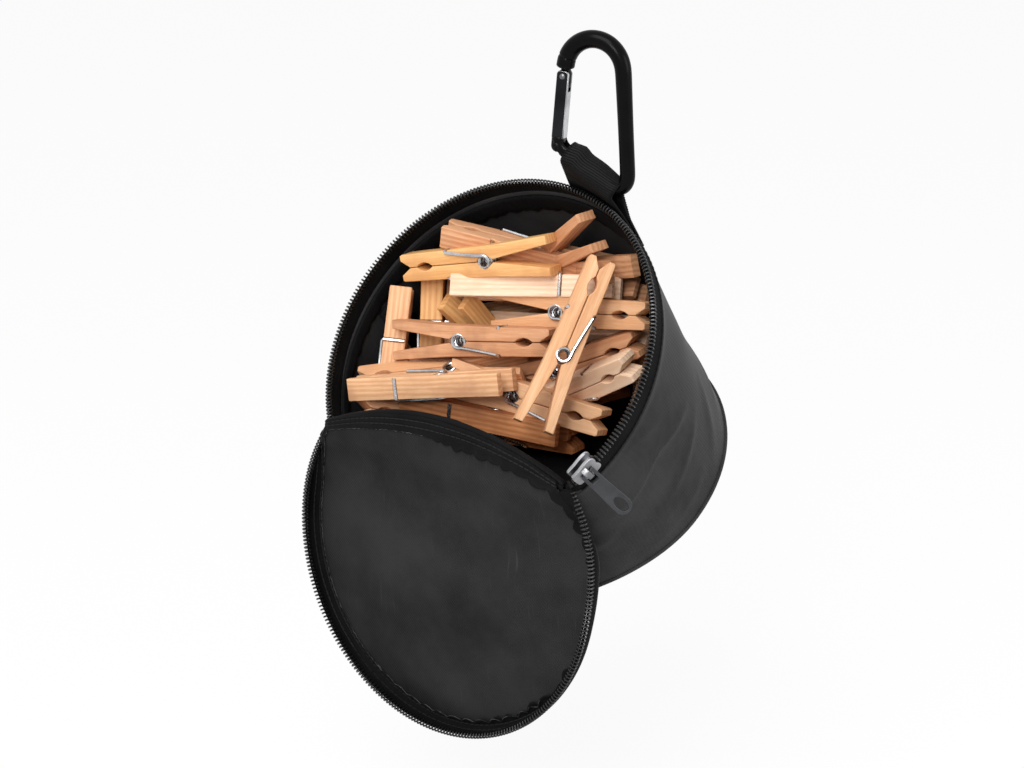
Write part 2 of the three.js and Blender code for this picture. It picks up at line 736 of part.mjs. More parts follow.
const strap_lines = anglesBetween(-1, 1, strap_spans).map(strapLine);
const strap_last = strap_lines[0].length - 1;
const strapFace = (line, index) => {
  const right = strap_lines[Math.min(line + 1, strap_spans)][index];
  const across = right.clone().sub(strap_lines[Math.max(line - 1, 0)][index]);
  const after = strap_lines[line][Math.min(index + 1, strap_last)];
  const along = after.clone().sub(strap_lines[line][Math.max(index - 1, 0)]);
  return across.cross(along).normalize().multiplyScalar(strap_t / 2);
};
const strap = loft(
  strap_lines[0].map((_, index) => {
    const under = strap_lines.map((line, row) => line[index].clone().sub(strapFace(row, index)));
    const over = strap_lines.map((line, row) => line[index].clone().add(strapFace(row, index)));
    return [...under, ...over.reverse()];
  }),
);
addPiece(bag_on_line, 'hanging_loop', strap, webbing);

export default bag_on_line;
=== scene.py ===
import json
import math

import bpy
from mathutils import Matrix, Quaternion, Vector, noise


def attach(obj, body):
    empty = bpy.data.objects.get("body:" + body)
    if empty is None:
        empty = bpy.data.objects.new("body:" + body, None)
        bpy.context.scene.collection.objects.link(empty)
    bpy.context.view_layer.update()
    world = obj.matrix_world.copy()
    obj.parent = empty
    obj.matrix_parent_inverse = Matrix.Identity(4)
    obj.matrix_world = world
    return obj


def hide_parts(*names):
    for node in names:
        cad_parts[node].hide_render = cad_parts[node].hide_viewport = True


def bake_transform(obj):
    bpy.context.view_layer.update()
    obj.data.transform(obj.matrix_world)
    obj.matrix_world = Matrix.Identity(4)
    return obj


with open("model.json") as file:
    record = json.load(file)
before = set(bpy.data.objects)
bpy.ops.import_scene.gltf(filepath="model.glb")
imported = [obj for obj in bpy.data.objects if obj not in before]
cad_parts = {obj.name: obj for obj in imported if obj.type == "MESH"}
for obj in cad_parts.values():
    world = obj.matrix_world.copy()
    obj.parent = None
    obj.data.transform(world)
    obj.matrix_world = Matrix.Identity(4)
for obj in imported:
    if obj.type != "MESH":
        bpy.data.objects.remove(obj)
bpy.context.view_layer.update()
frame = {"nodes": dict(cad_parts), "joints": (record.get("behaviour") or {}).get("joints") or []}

# Camera: a long lens about a metre away, a little above the bag and to its right, as in the photograph.
# Its angle and distance are fitted to the outlines of the open mouth and of the hanging lid.
scene = bpy.context.scene
mm = 0.001
joints = {joint["name"]: joint for joint in frame["joints"]}
mouth_centre = Vector(joints["slider_run"]["pos_m"])
out_of_mouth = Vector(joints["slider_run"]["axis"]).normalized()
along_hinge = Vector((1, 0, 0))
up_mouth = out_of_mouth.cross(along_hinge)

view_azimuth = math.radians(37.5)
view_elevation = math.radians(18.3)
view_distance = 950 * mm
mouth_right_in_view = -11.8 * mm
mouth_up_in_view = 13.6 * mm
photo_width = 1024
photo_height = 768
lens_pixels = 2372
sensor = 36

view_right = Vector((math.cos(view_azimuth), math.sin(view_azimuth), 0))
view_back = Vector((
    math.sin(view_azimuth) * math.cos(view_elevation),
    -math.cos(view_azimuth) * math.cos(view_elevation),
    math.sin(view_elevation),
))
view_up = view_back.cross(view_right)
camera_place = mouth_centre + view_back * view_distance
camera_place = camera_place - view_right * mouth_right_in_view - view_up * mouth_up_in_view
camera_axes = Matrix((view_right, view_up, view_back)).transposed().to_4x4()
camera_lens = bpy.data.cameras.new("photo_camera")
camera_lens.sensor_width = sensor
camera_lens.lens = lens_pixels * sensor / photo_width
camera_lens.clip_start = 10 * mm
camera = bpy.data.objects.new("photo_camera", camera_lens)
camera.matrix_world = Matrix.Translation(camera_place) @ camera_axes
scene.collection.objects.link(camera)
scene.camera = camera
scene.view_settings.view_transform = "Standard"


# Studio: a pale floor well below the hanging bag and a white surround. A wide soft lamp is high on the left,
# one on the right shows the folds of the black cloth, and a small one in front lights the inside of the bag.
def linear(hex_colour):
    """An sRGB hex colour as linear red, green, blue and alpha."""
    channels = [int(hex_colour[start:start + 2], 16) / 255 for start in (1, 3, 5)]
    return [c / 12.92 if c <= 0.04045 else ((c + 0.055) / 1.055) ** 2.4 for c in channels] + [1]


def add(tree, kind, settings={}, links={}):
    """Adds a node and gives its outputs.
    settings are its own properties or plain input values, and links feed its inputs."""
    made = tree.nodes.new("ShaderNode" + kind)
    for name, value in settings.items():
        if isinstance(name, int) or name in made.inputs.keys():
            made.inputs[name].default_value = value
        else:
            setattr(made, name, value)
    for name, source in links.items():
        tree.links.new(source, made.inputs[name])
    return made.outputs


def seen_directly(tree):
    """1 where a ray comes from the lens, a mirror-like surface or glass, and 0 where it only brings light."""
    path = add(tree, "LightPath")
    direct = add(tree, "Math", {"operation": "ADD"}, {0: path["Is Camera Ray"], 1: path["Is Glossy Ray"]})[0]
    either = {0: direct, 1: path["Is Transmission Ray"]}
    return add(tree, "Math", {"operation": "ADD", "use_clamp": True}, either)[0]


surround_light = 0.62
world = bpy.data.worlds.new("studio")
scene.world = world
world.use_nodes = True
sky = world.node_tree
sky.nodes.clear()
strength = add(sky, "MapRange", {"To Min": surround_light}, {"Value": seen_directly(sky)})
surround = add(sky, "Background", {"Color": linear("#ffffff")}, {"Strength": strength[0]})
add(sky, "OutputWorld", {}, {"Surface": surround[0]})

floor_drop = 330 * mm
floor_half = 12
floor_glow = 0.9
floor_signs = [(-1, -1), (1, -1), (1, 1), (-1, 1)]
floor_corners = [(x * floor_half, y * floor_half, -floor_drop) for x, y in floor_signs]
floor_mesh = bpy.data.meshes.new("studio_floor")
floor_mesh.from_pydata(floor_corners, [], [(0, 1, 2, 3)])
floor = bpy.data.objects.new("studio_floor", floor_mesh)
scene.collection.objects.link(floor)
# Pale floor paint: matt, so that it takes the bag's soft shadow, and nearly white to the lens.
floor_paint = bpy.data.materials.new("pale_floor_paint")
floor_paint.use_nodes = True
floor_tree = floor_paint.node_tree
floor_tree.nodes.clear()
floor_matt = add(floor_tree, "BsdfDiffuse", {"Color": linear("#f2f2f2")})
floor_white = add(floor_tree, "Emission", {"Color": linear("#ffffff"), "Strength": 1})
floor_seen = seen_directly(floor_tree)
floor_share = add(floor_tree, "Math", {"operation": "MULTIPLY", 1: floor_glow}, {0: floor_seen})
floor_mix = add(floor_tree, "MixShader", {}, {0: floor_share[0], 1: floor_matt[0], 2: floor_white[0]})
add(floor_tree, "OutputMaterial", {}, {"Surface": floor_mix[0]})
floor_mesh.materials.append(floor_paint)


def soft_lamp(name, place, width, watts):
    """A square lamp that faces the bag's mouth."""
    light = bpy.data.lights.new(name, "AREA")
    light.size = width
    light.energy = watts
    lamp = bpy.data.objects.new(name, light)
    lamp.location = mouth_centre + place
    lamp.rotation_euler = (-place).to_track_quat("-Z", "Y").to_euler()
    scene.collection.objects.link(lamp)


soft_lamp("high_lamp", -view_right * 0.35 + view_up * 0.75 + view_back * 1.0, width=0.8, watts=11)
soft_lamp("right_lamp", view_right * 1.3 + view_up * 0.2 + view_back * 0.7, width=0.7, watts=6)
soft_lamp("front_lamp", -view_right * 0.25 + view_up * 0.2 + view_back * 1.3, width=0.25, watts=5)


# Wall: one strip of black nylon, coated inside and sewn into a tube, its top edge sewn to the zip tape.
# The full bag pulls it straight down from the loop and lets it wrinkle low on the right.
mouth_r = 75
hinge_offset = (mouth_centre - Vector(joints["lid_fold"]["pos_m"])).length / mm
zip_half = math.acos(-hinge_offset / mouth_r)
tape_h = 11
base_r = 75
base_drop = 81.4
base_shift = 22
base_lean = math.radians(20)
cloth_t = 1.0
wall_top = tape_h - 1
wall_top_at_hinge = 3
hinge_blend = math.radians(12)
foot_draw = 1.6
foot_lift = 1
front_lift = 7
hem_out = 0.7
hem_l = 3
wall_slack = 0.6
wall_lump = 0.9
wall_lump_fineness = 3
crease_reach = 95
crease_end = 0.04
# Creases: where each starts and ends, in degrees round the wall and as a share of the way down it,
# then how far it stands out and its half width.
wall_creases = [
    (77, 0.44, 103, 0.30, 1.2, 2.6),
    (93, 0.30, 117, 0.44, 1.2, 2.6),
    (74, 0.56, 101, 0.70, 0.9, 3.2),
    (114, 0.52, 97, 0.96, 0.9, 3.6),
    (124, 0.58, 106, 0.94, 0.7, 3.6),
    (108, 0.03, 92, 0.20, 1.1, 2.4),
    (58, 0.62, 80, 0.98, 1.0, 4.0),
    (118, 0.52, 150, 0.80, 1.0, 4.0),
    (84, 0.84, 128, 0.97, 1.3, 3.2),
    (30, 0.70, 62, 0.94, 1.0, 4.6),
    (-64, 0.40, -98, 0.90, 1.3, 4.2),
    (-84, 0.30, -122, 0.74, 1.1, 4.0),
    (-112, 0.62, -150, 0.84, 1.2, 4.0),
    (-20, 0.66, -52, 0.95, 1.0, 4.6),
    (150, 0.30, 204, 0.62, 1.0, 4.4),
]


def in_mouth(x, y, z):
    """A place in the mouth's own directions, in mm: x along the hinge, y up its slope and z out of it."""
    return mouth_centre + (along_hinge * x + up_mouth * y + out_of_mouth * z) * mm


def smooth_step(value, low, high):
    """0 below low, 1 above high and an easy rise between them."""
    share = min(max((value - low) / (high - low), 0), 1)
    return share * share * (3 - 2 * share)


def mix(a, b, share):
    """The value that lies a share of the way from a to b."""
    return a + (b - a) * share


def spread(start, end, steps):
    """Evenly spaced values from start to end, both of them included."""
    return [mix(start, end, step / steps) for step in range(steps + 1)]


def full_turn(count):
    """Evenly spaced angles once round."""
    return [2 * math.pi * step / count for step in range(count)]


def beside(here, line):
    """How far along a line from the origin a place lies, as a share, and how far away from it."""
    part = min(max(here.dot(line) / line.length_squared, 0), 1)
    return part, (here - line * part).length


def crease_height(angle, share):
    """How far the creases stand out there, in millimetres."""
    height = 0
    for start, start_share, end, end_share, rise, half_width in wall_creases:
        turn = (math.degrees(angle) - start + 180) % 360 - 180
        here = Vector((math.radians(turn) * mouth_r, (share - start_share) * crease_reach))
        along = Vector((math.radians(end - start) * mouth_r, (end_share - start_share) * crease_reach))
        part, away = beside(here, along)
        taper = math.sin(math.pi * min(max(part, crease_end), 1 - crease_end)) ** 0.6
        height += rise * taper * math.exp(-((away / half_width) ** 2))
    return height


def wall_point(angle, share, stand_off=0, soft=1):
    """A place on the wall: an angle round it from its top, a share of the way down and a distance out.
    soft is 0 where the cloth is taken without its creases."""
    past_zip = abs((math.degrees(angle) + 180) % 360 - 180) * math.pi / 180 - zip_half
    blend = smooth_step(past_zip, -hinge_blend / 4, hinge_blend)
    top_r = hinge_offset / abs(math.cos(angle)) if past_zip > 0 else mouth_r
    top_z = -mix(wall_top, wall_top_at_hinge, blend)
    foot_r = base_r - foot_draw + stand_off
    # The foot draws up at the front, where the lid hangs against it.
    lift = foot_lift + front_lift * smooth_step(-math.cos(angle), low=0.1, high=1)
    foot_y = foot_r * math.cos(angle) * math.cos(base_lean) - base_shift
    foot_z = -foot_r * math.cos(angle) * math.sin(base_lean) - base_drop + lift
    radial = Vector((math.sin(angle), math.cos(angle)))
    point = Vector((
        mix((top_r + stand_off) * math.sin(angle), foot_r * math.sin(angle), share),
        mix((top_r + stand_off) * math.cos(angle), foot_y, share),
        mix(top_z, foot_z, share),
    ))
    where = Vector([spot * wall_lump_fineness for spot in (radial.x, radial.y, share)])
    lumps = wall_lump * noise.noise(where)
    puff = soft * math.sin(math.pi * min(share, 1)) * (crease_height(angle, share) - wall_slack + lumps)
    puff += soft * hem_out * math.exp(-((share * base_drop / hem_l) ** 2))
    point.x += radial.x * puff
    point.y += radial.y * puff
    return point


def loft(rows, ring=False, round_rows=False, caps=False):
    """Quads through rows of points. ring joins the last row to the first, round_rows closes each row
    on itself and caps closes both ends."""
    count = len(rows[0])
    points = [point for row in rows for point in row]
    faces = []
    for row in range(len(rows) if ring else len(rows) - 1):
        here = row * count
        there = ((row + 1) % len(rows)) * count
        for spot in range(count if round_rows else count - 1):
            following = (spot + 1) % count
            faces.append((here + spot, here + following, there + following, there + spot))
    if caps:
        faces.append(tuple(reversed(range(count))))
        faces.append(tuple((len(rows) - 1) * count + spot for spot in range(count)))
    return points, faces


def make_piece(name, shape, finish, sharp=35):
    """A mesh object from points and faces, smooth except at edges sharper than the given angle."""
    points, faces = shape
    mesh = bpy.data.meshes.new(name)
    mesh.from_pydata([tuple(point) for point in points], [], faces)
    mesh.validate()
    mesh.update()
    mesh.shade_smooth()
    mesh.set_sharp_from_angle(angle=math.radians(sharp))
    piece = bpy.data.objects.new(name, mesh)
    scene.collection.objects.link(piece)
    mesh.materials.append(finish)
    return piece


def thicken(piece, thickness, offset=-1):
    """Gives a sheet its thickness in millimetres, to the side that offset says."""
    solid = piece.modifiers.new("thickness", "SOLIDIFY")
    solid.thickness = thickness * mm
    solid.offset = offset
    solid.use_even_offset = False
    return piece


def new_finish(name, settings):
    """A material with one Principled shader and its plain values. Gives it, its tree and that shader."""
    finish = bpy.data.materials.new(name)
    finish.use_nodes = True
    tree = finish.node_tree
    shader = tree.nodes["Principled BSDF"]
    for socket, value in settings.items():
        shader.inputs[socket].default_value = value
    return finish, tree, shader


def paint(tree, shader, colour, height, bump, bump_mm):
    """Feeds a shader its colour and, where bump isn't 0, a relief of that strength and height."""
    tree.links.new(colour, shader.inputs["Base Color"])
    if bump:
        relief = add(tree, "Bump", {"Strength": bump, "Distance": bump_mm * mm}, {"Height": height})[0]
        tree.links.new(relief, shader.inputs["Normal"])


def woven(name, dark, light, roughness, thread_mm, weave_depth, cloud_mm, gloss):
    """Plain woven synthetic cloth: crossed threads at a set spacing, cloudy tone and a little gloss.
    Threads closer than about 0.7 mm would not show in a picture of the whole bag, so none is drawn finer."""
    skin = {"Roughness": roughness, "Specular IOR Level": gloss}
    sheen = {"Sheen Weight": 0.01, "Sheen Roughness": 0.45}
    finish, tree, shader = new_finish(name, skin | sheen)
    place = add(tree, "TexCoord")["Object"]
    # A wave texture repeats every pi / (10 x its scale).
    wave_scale = math.pi / (10 * thread_mm * mm)
    waves = []
    for axis in ("DIAGONAL", "X", "Z"):
        bands = {"bands_direction": axis, "Scale": wave_scale, "Distortion": 0.6}
        waves.append(add(tree, "TexWave", bands, {"Vector": place})["Fac"])
    crossed = add(tree, "Math", {"operation": "MULTIPLY"}, {0: waves[1], 1: waves[2]})[0]
    threads = add(tree, "Math", {"operation": "ADD"}, {0: crossed, 1: waves[0]})[0]
    clouds = {"Scale": 1 / (cloud_mm * mm), "Detail": 6, "Roughness": 0.62}
    cloud = add(tree, "TexNoise", clouds, {"Vector": place})["Fac"]
    tone = add(tree, "MapRange", {"From Min": 0.32, "From Max": 0.68}, {"Value": cloud})[0]
    shade = add(tree, "Math", {"operation": "MULTIPLY_ADD", 1: 0.22}, {0: threads, 2: tone})[0]
    colour = add(tree, "Mix", {"data_type": "RGBA", 6: linear(dark), 7: linear(light)}, {0: shade})[2]
    paint(tree, shader, colour, threads, weave_depth, bump_mm=0.25)
    return finish


# Face side of the nylon: charcoal and dull, with a faint weave and soft cloudy patches.
face_nylon = woven(
    "nylon_face_side", "#252526", "#363637",
    roughness=0.46, thread_mm=0.75, weave_depth=0.14, cloud_mm=34, gloss=0.05,
)
wall_steps = 192
wall_rows = 64
wall_grid = []
for share in spread(0, 1, wall_rows):
    wall_grid.append([in_mouth(*wall_point(angle, share)) for angle in full_turn(wall_steps)])
wall_shape = loft(wall_grid, round_rows=True)
wall = thicken(make_piece("wall_cloth", wall_shape, face_nylon), cloth_t)
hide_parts("wall_panel")
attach(wall, "bag")


# Base: a round panel of the same nylon, sewn to the wall with the raw edges inside.
# The pegs' weight makes it sag, and the seam stands proud as a soft welt.
base_sag = 5
base_lump = 1.4
base_lump_l = 24
base_rings = 22
base_steps = 144
base_hub = 0.002
welt_r = 0.9
welt_drop = 0.4


def base_point(angle, share):
    """A place on the sagging panel, from its middle to its sewn edge."""
    edge = wall_point(angle, 1)
    middle = Vector((0, -base_shift, -base_drop))
    point = middle.lerp(edge, share)
    lumps = noise.noise(Vector((point.x, point.y, 2)) / base_lump_l)
    dome = base_sag * (1 - share * share) + base_lump * (1 - share) * lumps
    point.y -= dome * math.sin(base_lean)
    point.z -= dome * math.cos(base_lean)
    return point


def tube(path, radius, sides=8, ring=False):
    """A round wire along a path of places in metres.
    Its radius is in millimetres, one for all of it or a list with one for each place."""
    count = len(path)
    rows = []
    side = None
    for spot in range(count):
        before = path[spot - 1] if spot or ring else path[0]
        after = path[(spot + 1) % count] if spot < count - 1 or ring else path[-1]
        ahead = (after - before).normalized()
        if side is None:
            side = ahead.orthogonal().normalized()
        side = (side - ahead * side.dot(ahead)).normalized()
        other = ahead.cross(side)
        reach = (radius[spot] if isinstance(radius, list) else radius) * mm
        spokes = [side * math.cos(turn) + other * math.sin(turn) for turn in full_turn(sides)]
        rows.append([path[spot] + spoke * reach for spoke in spokes])
    return loft(rows, ring=ring, round_rows=True, caps=not ring)


# Its rings start from a very small one round the middle, which one face closes.
base_angles = full_turn(base_steps)
base_grid = []
for share in spread(0, 1, base_rings):
    base_grid.append([in_mouth(*base_point(angle, max(share, base_hub))) for angle in base_angles])
base_shape = loft(base_grid, round_rows=True)
base_shape[1].append(tuple(reversed(range(base_steps))))
base = thicken(make_piece("base_cloth", base_shape, face_nylon), cloth_t, offset=1)
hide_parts("base_panel")
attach(base, "bag")

welt_path = [in_mouth(*wall_point(angle, 1)) - out_of_mouth * welt_drop * mm for angle in base_angles]
welt = make_piece("base_welt", tube(welt_path, welt_r, ring=True), face_nylon)
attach(welt, "bag")


# Seam allowances: raw strips of the same cloth on the inside, under the zip tape, down the strip's join
# and round the base. They are turned in, sewn flat and never bound, so the one under the tape waves.
allowance = 7
inner_gap = 1.9
seam_t = 0.6
base_seam_gap = 1.6
base_seam_shares = (0.87, 0.90, 0.93, 0.96)
wall_l = base_drop - wall_top
# Raw nylon: the same cloth where it is cut and doubled, almost black and dull, its weave a little coarser.
raw_nylon = woven(
    "raw_edge_nylon", "#080809", "#101011",
    roughness=0.62, thread_mm=0.8, weave_depth=0.25, cloud_mm=18, gloss=0.07,
)


def waving(spot, wave_mm, depth):
    """An uneven wave along a raw edge, in millimetres."""
    phase = 2 * math.pi * spot / wave_mm
    return depth * (0.6 * math.sin(phase) + 0.5 * math.sin(1.73 * phase + 1.3) + 0.3 * math.sin(0.41 * phase))


def wall_strip(angles, top_share, bottom_shares):
    """A strip along the inside of the wall between two heights, its lower edge given for each angle."""
    rows = []
    for angle, bottom in zip(angles, bottom_shares):
        shares = spread(top_share, bottom, steps=4)
        rows.append([in_mouth(*wall_point(angle, share, -inner_gap)) for share in shares])
    return loft(rows)


seam_half = zip_half - math.radians(2)
seam_angles = spread(-seam_half, seam_half, steps=240)
seam_ends = [(allowance + waving(angle * mouth_r, wave_mm=9, depth=0.6)) / wall_l for angle in seam_angles]
rim_strip = wall_strip(seam_angles, top_share=0.015, bottom_shares=seam_ends)
rim_seam = thicken(make_piece("rim_seam_cloth", rim_strip, raw_nylon), seam_t)
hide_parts("rim_seam_allowance")
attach(rim_seam, "bag")

side_seam_at = math.radians(-75)
side_half = allowance / mouth_r
side_angles = spread(side_seam_at - side_half, side_seam_at + side_half, steps=12)
side_strip = wall_strip(side_angles, top_share=0.12, bottom_shares=[0.9] * len(side_angles))
side_seam = thicken(make_piece("side_seam_cloth", side_strip, raw_nylon), seam_t)
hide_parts("side_seam_allowance")
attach(side_seam, "bag")

base_seam_lift = Vector((0, math.sin(base_lean), math.cos(base_lean))) * base_seam_gap
base_seam_grid = []
for share in base_seam_shares:
    base_seam_grid.append([in_mouth(*(base_point(angle, share) + base_seam_lift)) for angle in base_angles])
base_seam_shape = loft(base_seam_grid, round_rows=True)
base_seam = thicken(make_piece("base_seam_cloth", base_seam_shape, raw_nylon), seam_t)
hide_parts("base_seam_allowance")
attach(base_seam, "bag")


# Zip tape on the bag: a woven polyester band that stands out from the wall's top edge and carries the coil.
# A row of lockstitch holds it to the cloth.
coil_gap = 1.4
coil_h = 2
tape_t = 0.7
tape_steps = 220
zip_margin = 3
coil_half = zip_half - zip_margin / mouth_r
stitch_l = 2.6
stitch_up = 1.2
# Zip tape: a dense dull weave, darker than the nylon beside it.
zip_weave = woven(
    "zip_tape_weave", "#070707", "#0f0f10",
    roughness=0.7, thread_mm=0.7, weave_depth=0.3, cloud_mm=12, gloss=0.06,
)


def on_rim(angle, radius, height):
    """A place round the rim in the mouth's directions, its angle taken from the top."""
    return Vector((radius * math.sin(angle), radius * math.cos(angle), height))


def flecked(name, settings, dark, light, fleck_mm, detail, noise_roughness=0.5, contrast=(0, 1), bump=0):
    """A plain finish whose tone varies in flecks of a set size. contrast is the range of them that shows."""
    finish, tree, shader = new_finish(name, settings)
    place = add(tree, "TexCoord")["Object"]
    grain = {"Scale": 1 / (fleck_mm * mm), "Detail": detail, "Roughness": noise_roughness}
    flecks = add(tree, "TexNoise", grain, {"Vector": place})["Fac"]
    share = add(tree, "MapRange", {"From Min": contrast[0], "From Max": contrast[1]}, {"Value": flecks})[0]
    colour = add(tree, "Mix", {"data_type": "RGBA", 6: linear(dark), 7: linear(light)}, {0: share})[2]
    paint(tree, shader, colour, flecks, bump, bump_mm=0.2)
    return finish


def joined(*shapes):
    """Several lots of points and faces as one."""
    points, faces = [], []
    for more_points, more_faces in shapes:
        faces += [tuple(corner + len(points) for corner in face) for face in more_faces]
        points += list(more_points)
    return points, faces


def stitches(places, normals, radius=0.28):
    """A row of lockstitches: each is a short thread that dips into the cloth at both ends."""
    threads = []
    for start, end, normal in zip(places[:-1], places[1:], normals):
        a, b = start.lerp(end, 0.12), start.lerp(end, 0.88)
        lift = normal * radius * mm
        path = [a - lift, a + lift * 0.8, a.lerp(b, 0.5) + lift * 1.2, b + lift * 0.8, b - lift]
        threads.append(tube(path, radius, sides=5))
    return joined(*threads)


tape_heights = [-coil_gap / 2 - coil_h * share for share in (0.75, 1.1, 1.8, 2.6, 3.4, 4.2, 5.1)]
body_tape_grid = []
for angle in spread(-coil_half, coil_half, tape_steps):
    body_tape_grid.append([in_mouth(*on_rim(angle, mouth_r, height)) for height in tape_heights])
body_tape = thicken(make_piece("body_zip_tape_cloth", loft(body_tape_grid), zip_weave), tape_t, offset=0)
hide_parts("body_zip_tape")
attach(body_tape, "bag")

# Polyester thread: black with a slight shine, its twist drawn as paler flecks, coarser than it is.
thread_finish = flecked(
    "polyester_thread", {"Roughness": 0.5, "Specular IOR Level": 0.15}, "#121213", "#242425",
    fleck_mm=0.6, detail=2,
)
stitch_count = int(2 * coil_half * mouth_r / stitch_l)
stitch_places = []
stitch_normals = []
for angle in spread(-coil_half, coil_half, stitch_count):
    stitch_places.append(in_mouth(*on_rim(angle, mouth_r + tape_t / 2, -tape_h + stitch_up)))
    stitch_normals.append((in_mouth(*on_rim(angle, 1, 0)) - mouth_centre).normalized())
body_stitches = make_piece("rim_stitches", stitches(stitch_places, stitch_normals), thread_finish)
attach(body_stitches, "bag")


# Zip coil on the bag: one black nylon thread bent into hairpins, each a tooth that stands out of the tape.
# It is extruded and heat set, so it is smooth and glossy and every tooth catches the light.
tooth_pitch = 1.6
tooth_wire = 0.42
tooth_half = 1.05
tooth_foot = coil_gap / 2 + coil_h + 0.2
tooth_tip = coil_gap / 2 + tooth_wire
# One tooth: how far across the coil, and how far from its tip to its foot as a share.
hairpin = [(-1, 1), (-1, 0.45), (-0.75, 0.1), (0, -0.08), (0.75, 0.1), (1, 0.45), (1, 1)]
# Nylon coil: glossy black plastic with small sharp highlights.
coil_skin = {"Roughness": 0.22, "IOR": 1.53, "Specular IOR Level": 0.4}
coil_nylon = flecked("nylon_coil", coil_skin, "#0b0b0c", "#1a1a1b", fleck_mm=5, detail=3)


def coil_path(start, end, place, side):
    """Hairpin teeth between two angles round the rim. side is -1 for the bag's half and 1 for the lid's."""
    teeth = int((end - start) * mouth_r / tooth_pitch)
    path = []
    for tooth in range(teeth):
        angle = mix(start, end, (tooth + 0.5) / teeth)
        for across, down in hairpin:
            height = side * mix(tooth_tip, tooth_foot, down)
            path.append(place(*on_rim(angle, mouth_r + across * tooth_half, height)))
    return path


body_teeth = tube(coil_path(-coil_half, coil_half, in_mouth, side=-1), tooth_wire, sides=6)
body_coil = make_piece("body_zip_teeth", body_teeth, coil_nylon)
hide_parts("body_zip_coil")
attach(body_coil, "bag")


# Hinge cloth: the stretch of nylon between the zip's two ends, sewn to the wall and to the lid.
# With the lid hanging it stands up in a low double arch, and its turned edge catches the light.
hinge = Vector(joints["lid_fold"]["pos_m"])
fold_half = hinge_offset * math.tan(math.pi - zip_half) + 0.5
fold_rise = 14
fold_end_rise = 1.4
fold_foot = 1.7
fold_ripple = 0.35
fold_t = 0.7
fold_steps = 72
# Its section, from the wall's side over the crest to the lid's: how far back, and how far down as a share.
fold_section = [
    (1.3, 1.0), (1.3, 0.75), (1.35, 0.5), (1.35, 0.3), (1.2, 0.13), (0.8, 0.04),
    (0, 0), (-0.8, 0.03), (-1.25, 0.1), (-1.35, 0.18), (-1.1, 0.26), (-0.55, 0.33),
    (-1.1, 0.4), (-1.4, 0.5), (-1.4, 0.64), (-1.2, 0.8), (-1.3, 1.0),
]
fold_rows = []
for share in spread(-1, 1, fold_steps):
    crest = fold_end_rise + fold_rise * (1 - share * share)
    ripple = fold_ripple * noise.noise(Vector((share * 5, 1, 4)))
    fold_rows.append([
        hinge + Vector((share * fold_half, y + ripple, crest - down * (crest + fold_foot))) * mm
        for y, down in fold_section
    ])
fold = thicken(make_piece("hinge_cloth", loft(fold_rows), raw_nylon, sharp=60), fold_t, offset=0)
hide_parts("hinge_fold")
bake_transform(fold)


# Lid: a round panel of the same nylon, which hangs with its coated inner face to the front.
# It is soft: the bag behind it pushes its middle forward, and its edge stays a shallow dish inside the zip.
lid_open = math.radians(joints["lid_fold"]["range_deg"][1])
lid_along = up_mouth * math.cos(lid_open) + out_of_mouth * math.sin(lid_open)
lid_out = out_of_mouth * math.cos(lid_open) - up_mouth * math.sin(lid_open)
lid_rise = 0.1
panel_r = mouth_r - 1.8
lid_depth = 10
over_fold = 2.7
arch_rise = 9
ring_draw = 0.025
ring_shift = 1.5
belly = 4.5
belly_half_w = 30
lid_lump = 1.6
lid_lump_l = 36
lid_ripple = 0.6
lid_ripple_l = 13
lid_crease_end = 0.05
lid_rings = 40
lid_steps = 168
lid_hub = 0.004
# Old fold lines: from, to, how far they stand out and their half width.
lid_creases = [
    ((-34, 34), (-12, 92), 0.8, 6),
    ((16, 8), (46, 40), 1.1, 5),
    ((20, 30), (48, 66), 1.0, 7),
    ((-8, 48), (30, 104), 0.6, 5),
    ((-50, 62), (-26, 100), 0.7, 6),
    ((-6, 6), (-24, 26), 1.0, 4),
    ((6, 4), (2, 24), 0.9, 4),
    ((34, 76), (8, 112), 0.6, 5),
    ((2, 44), (62, 52), 2.4, 11),
    ((14, 84), (58, 90), 1.8, 10),
]


def in_lid(x, y, z):
    """A place in the lid's own directions: x along the hinge, y away from it and z out of the closed bag.
    Below the hinge the hanging lid is drawn in a little and leans left."""
    hung = smooth_step(y, low=12, high=60)
    across = x * (1 - ring_draw * hung) - ring_shift * hung
    return hinge + (along_hinge * across + lid_along * y + lid_out * z) * mm


def panel_edge(angle):
    """The sewn edge of the panel inside the zip."""
    return Vector((panel_r * math.sin(angle), panel_r * math.cos(angle) + hinge_offset))


def dish(y):
    """How deep inside the zip the panel's edge lies. It runs out next to the hinge."""
    return lid_depth * smooth_step(y, low=-2, high=34)


def forward(y):
    """How far the cloth next to the hinge comes forward, over the hinge cloth."""
    return over_fold * smooth_step(-y, low=-14, high=-4)


panel_top = panel_edge(zip_half).y
arch_half = panel_edge(zip_half).x
lid_middle = Vector((0, hinge_offset))


def arch_y(x):
    """How far down from the hinge the panel's upper edge lies, which arches up over the hinge cloth."""
    return panel_top - arch_rise * (1 - (x / arch_half) ** 2)


def lid_outline(angle, step_in=0):
    """The panel's outline as seen from its middle, or a line a little inside it."""
    if abs((angle + math.pi) % (2 * math.pi) - math.pi) <= zip_half:
        place = panel_edge(angle)
    else:
        # Where the ray at this angle meets the arch: a quadratic in its length.
        across, down = math.sin(angle), -math.cos(angle)
        bulge = arch_rise / arch_half ** 2 * across ** 2
        drop = hinge_offset - panel_top + arch_rise
        reach = 2 * drop / (down + math.sqrt(down * down + 4 * bulge * drop))
        place = Vector((reach * across, hinge_offset - reach * down))
    return place + (lid_middle - place).normalized() * step_in


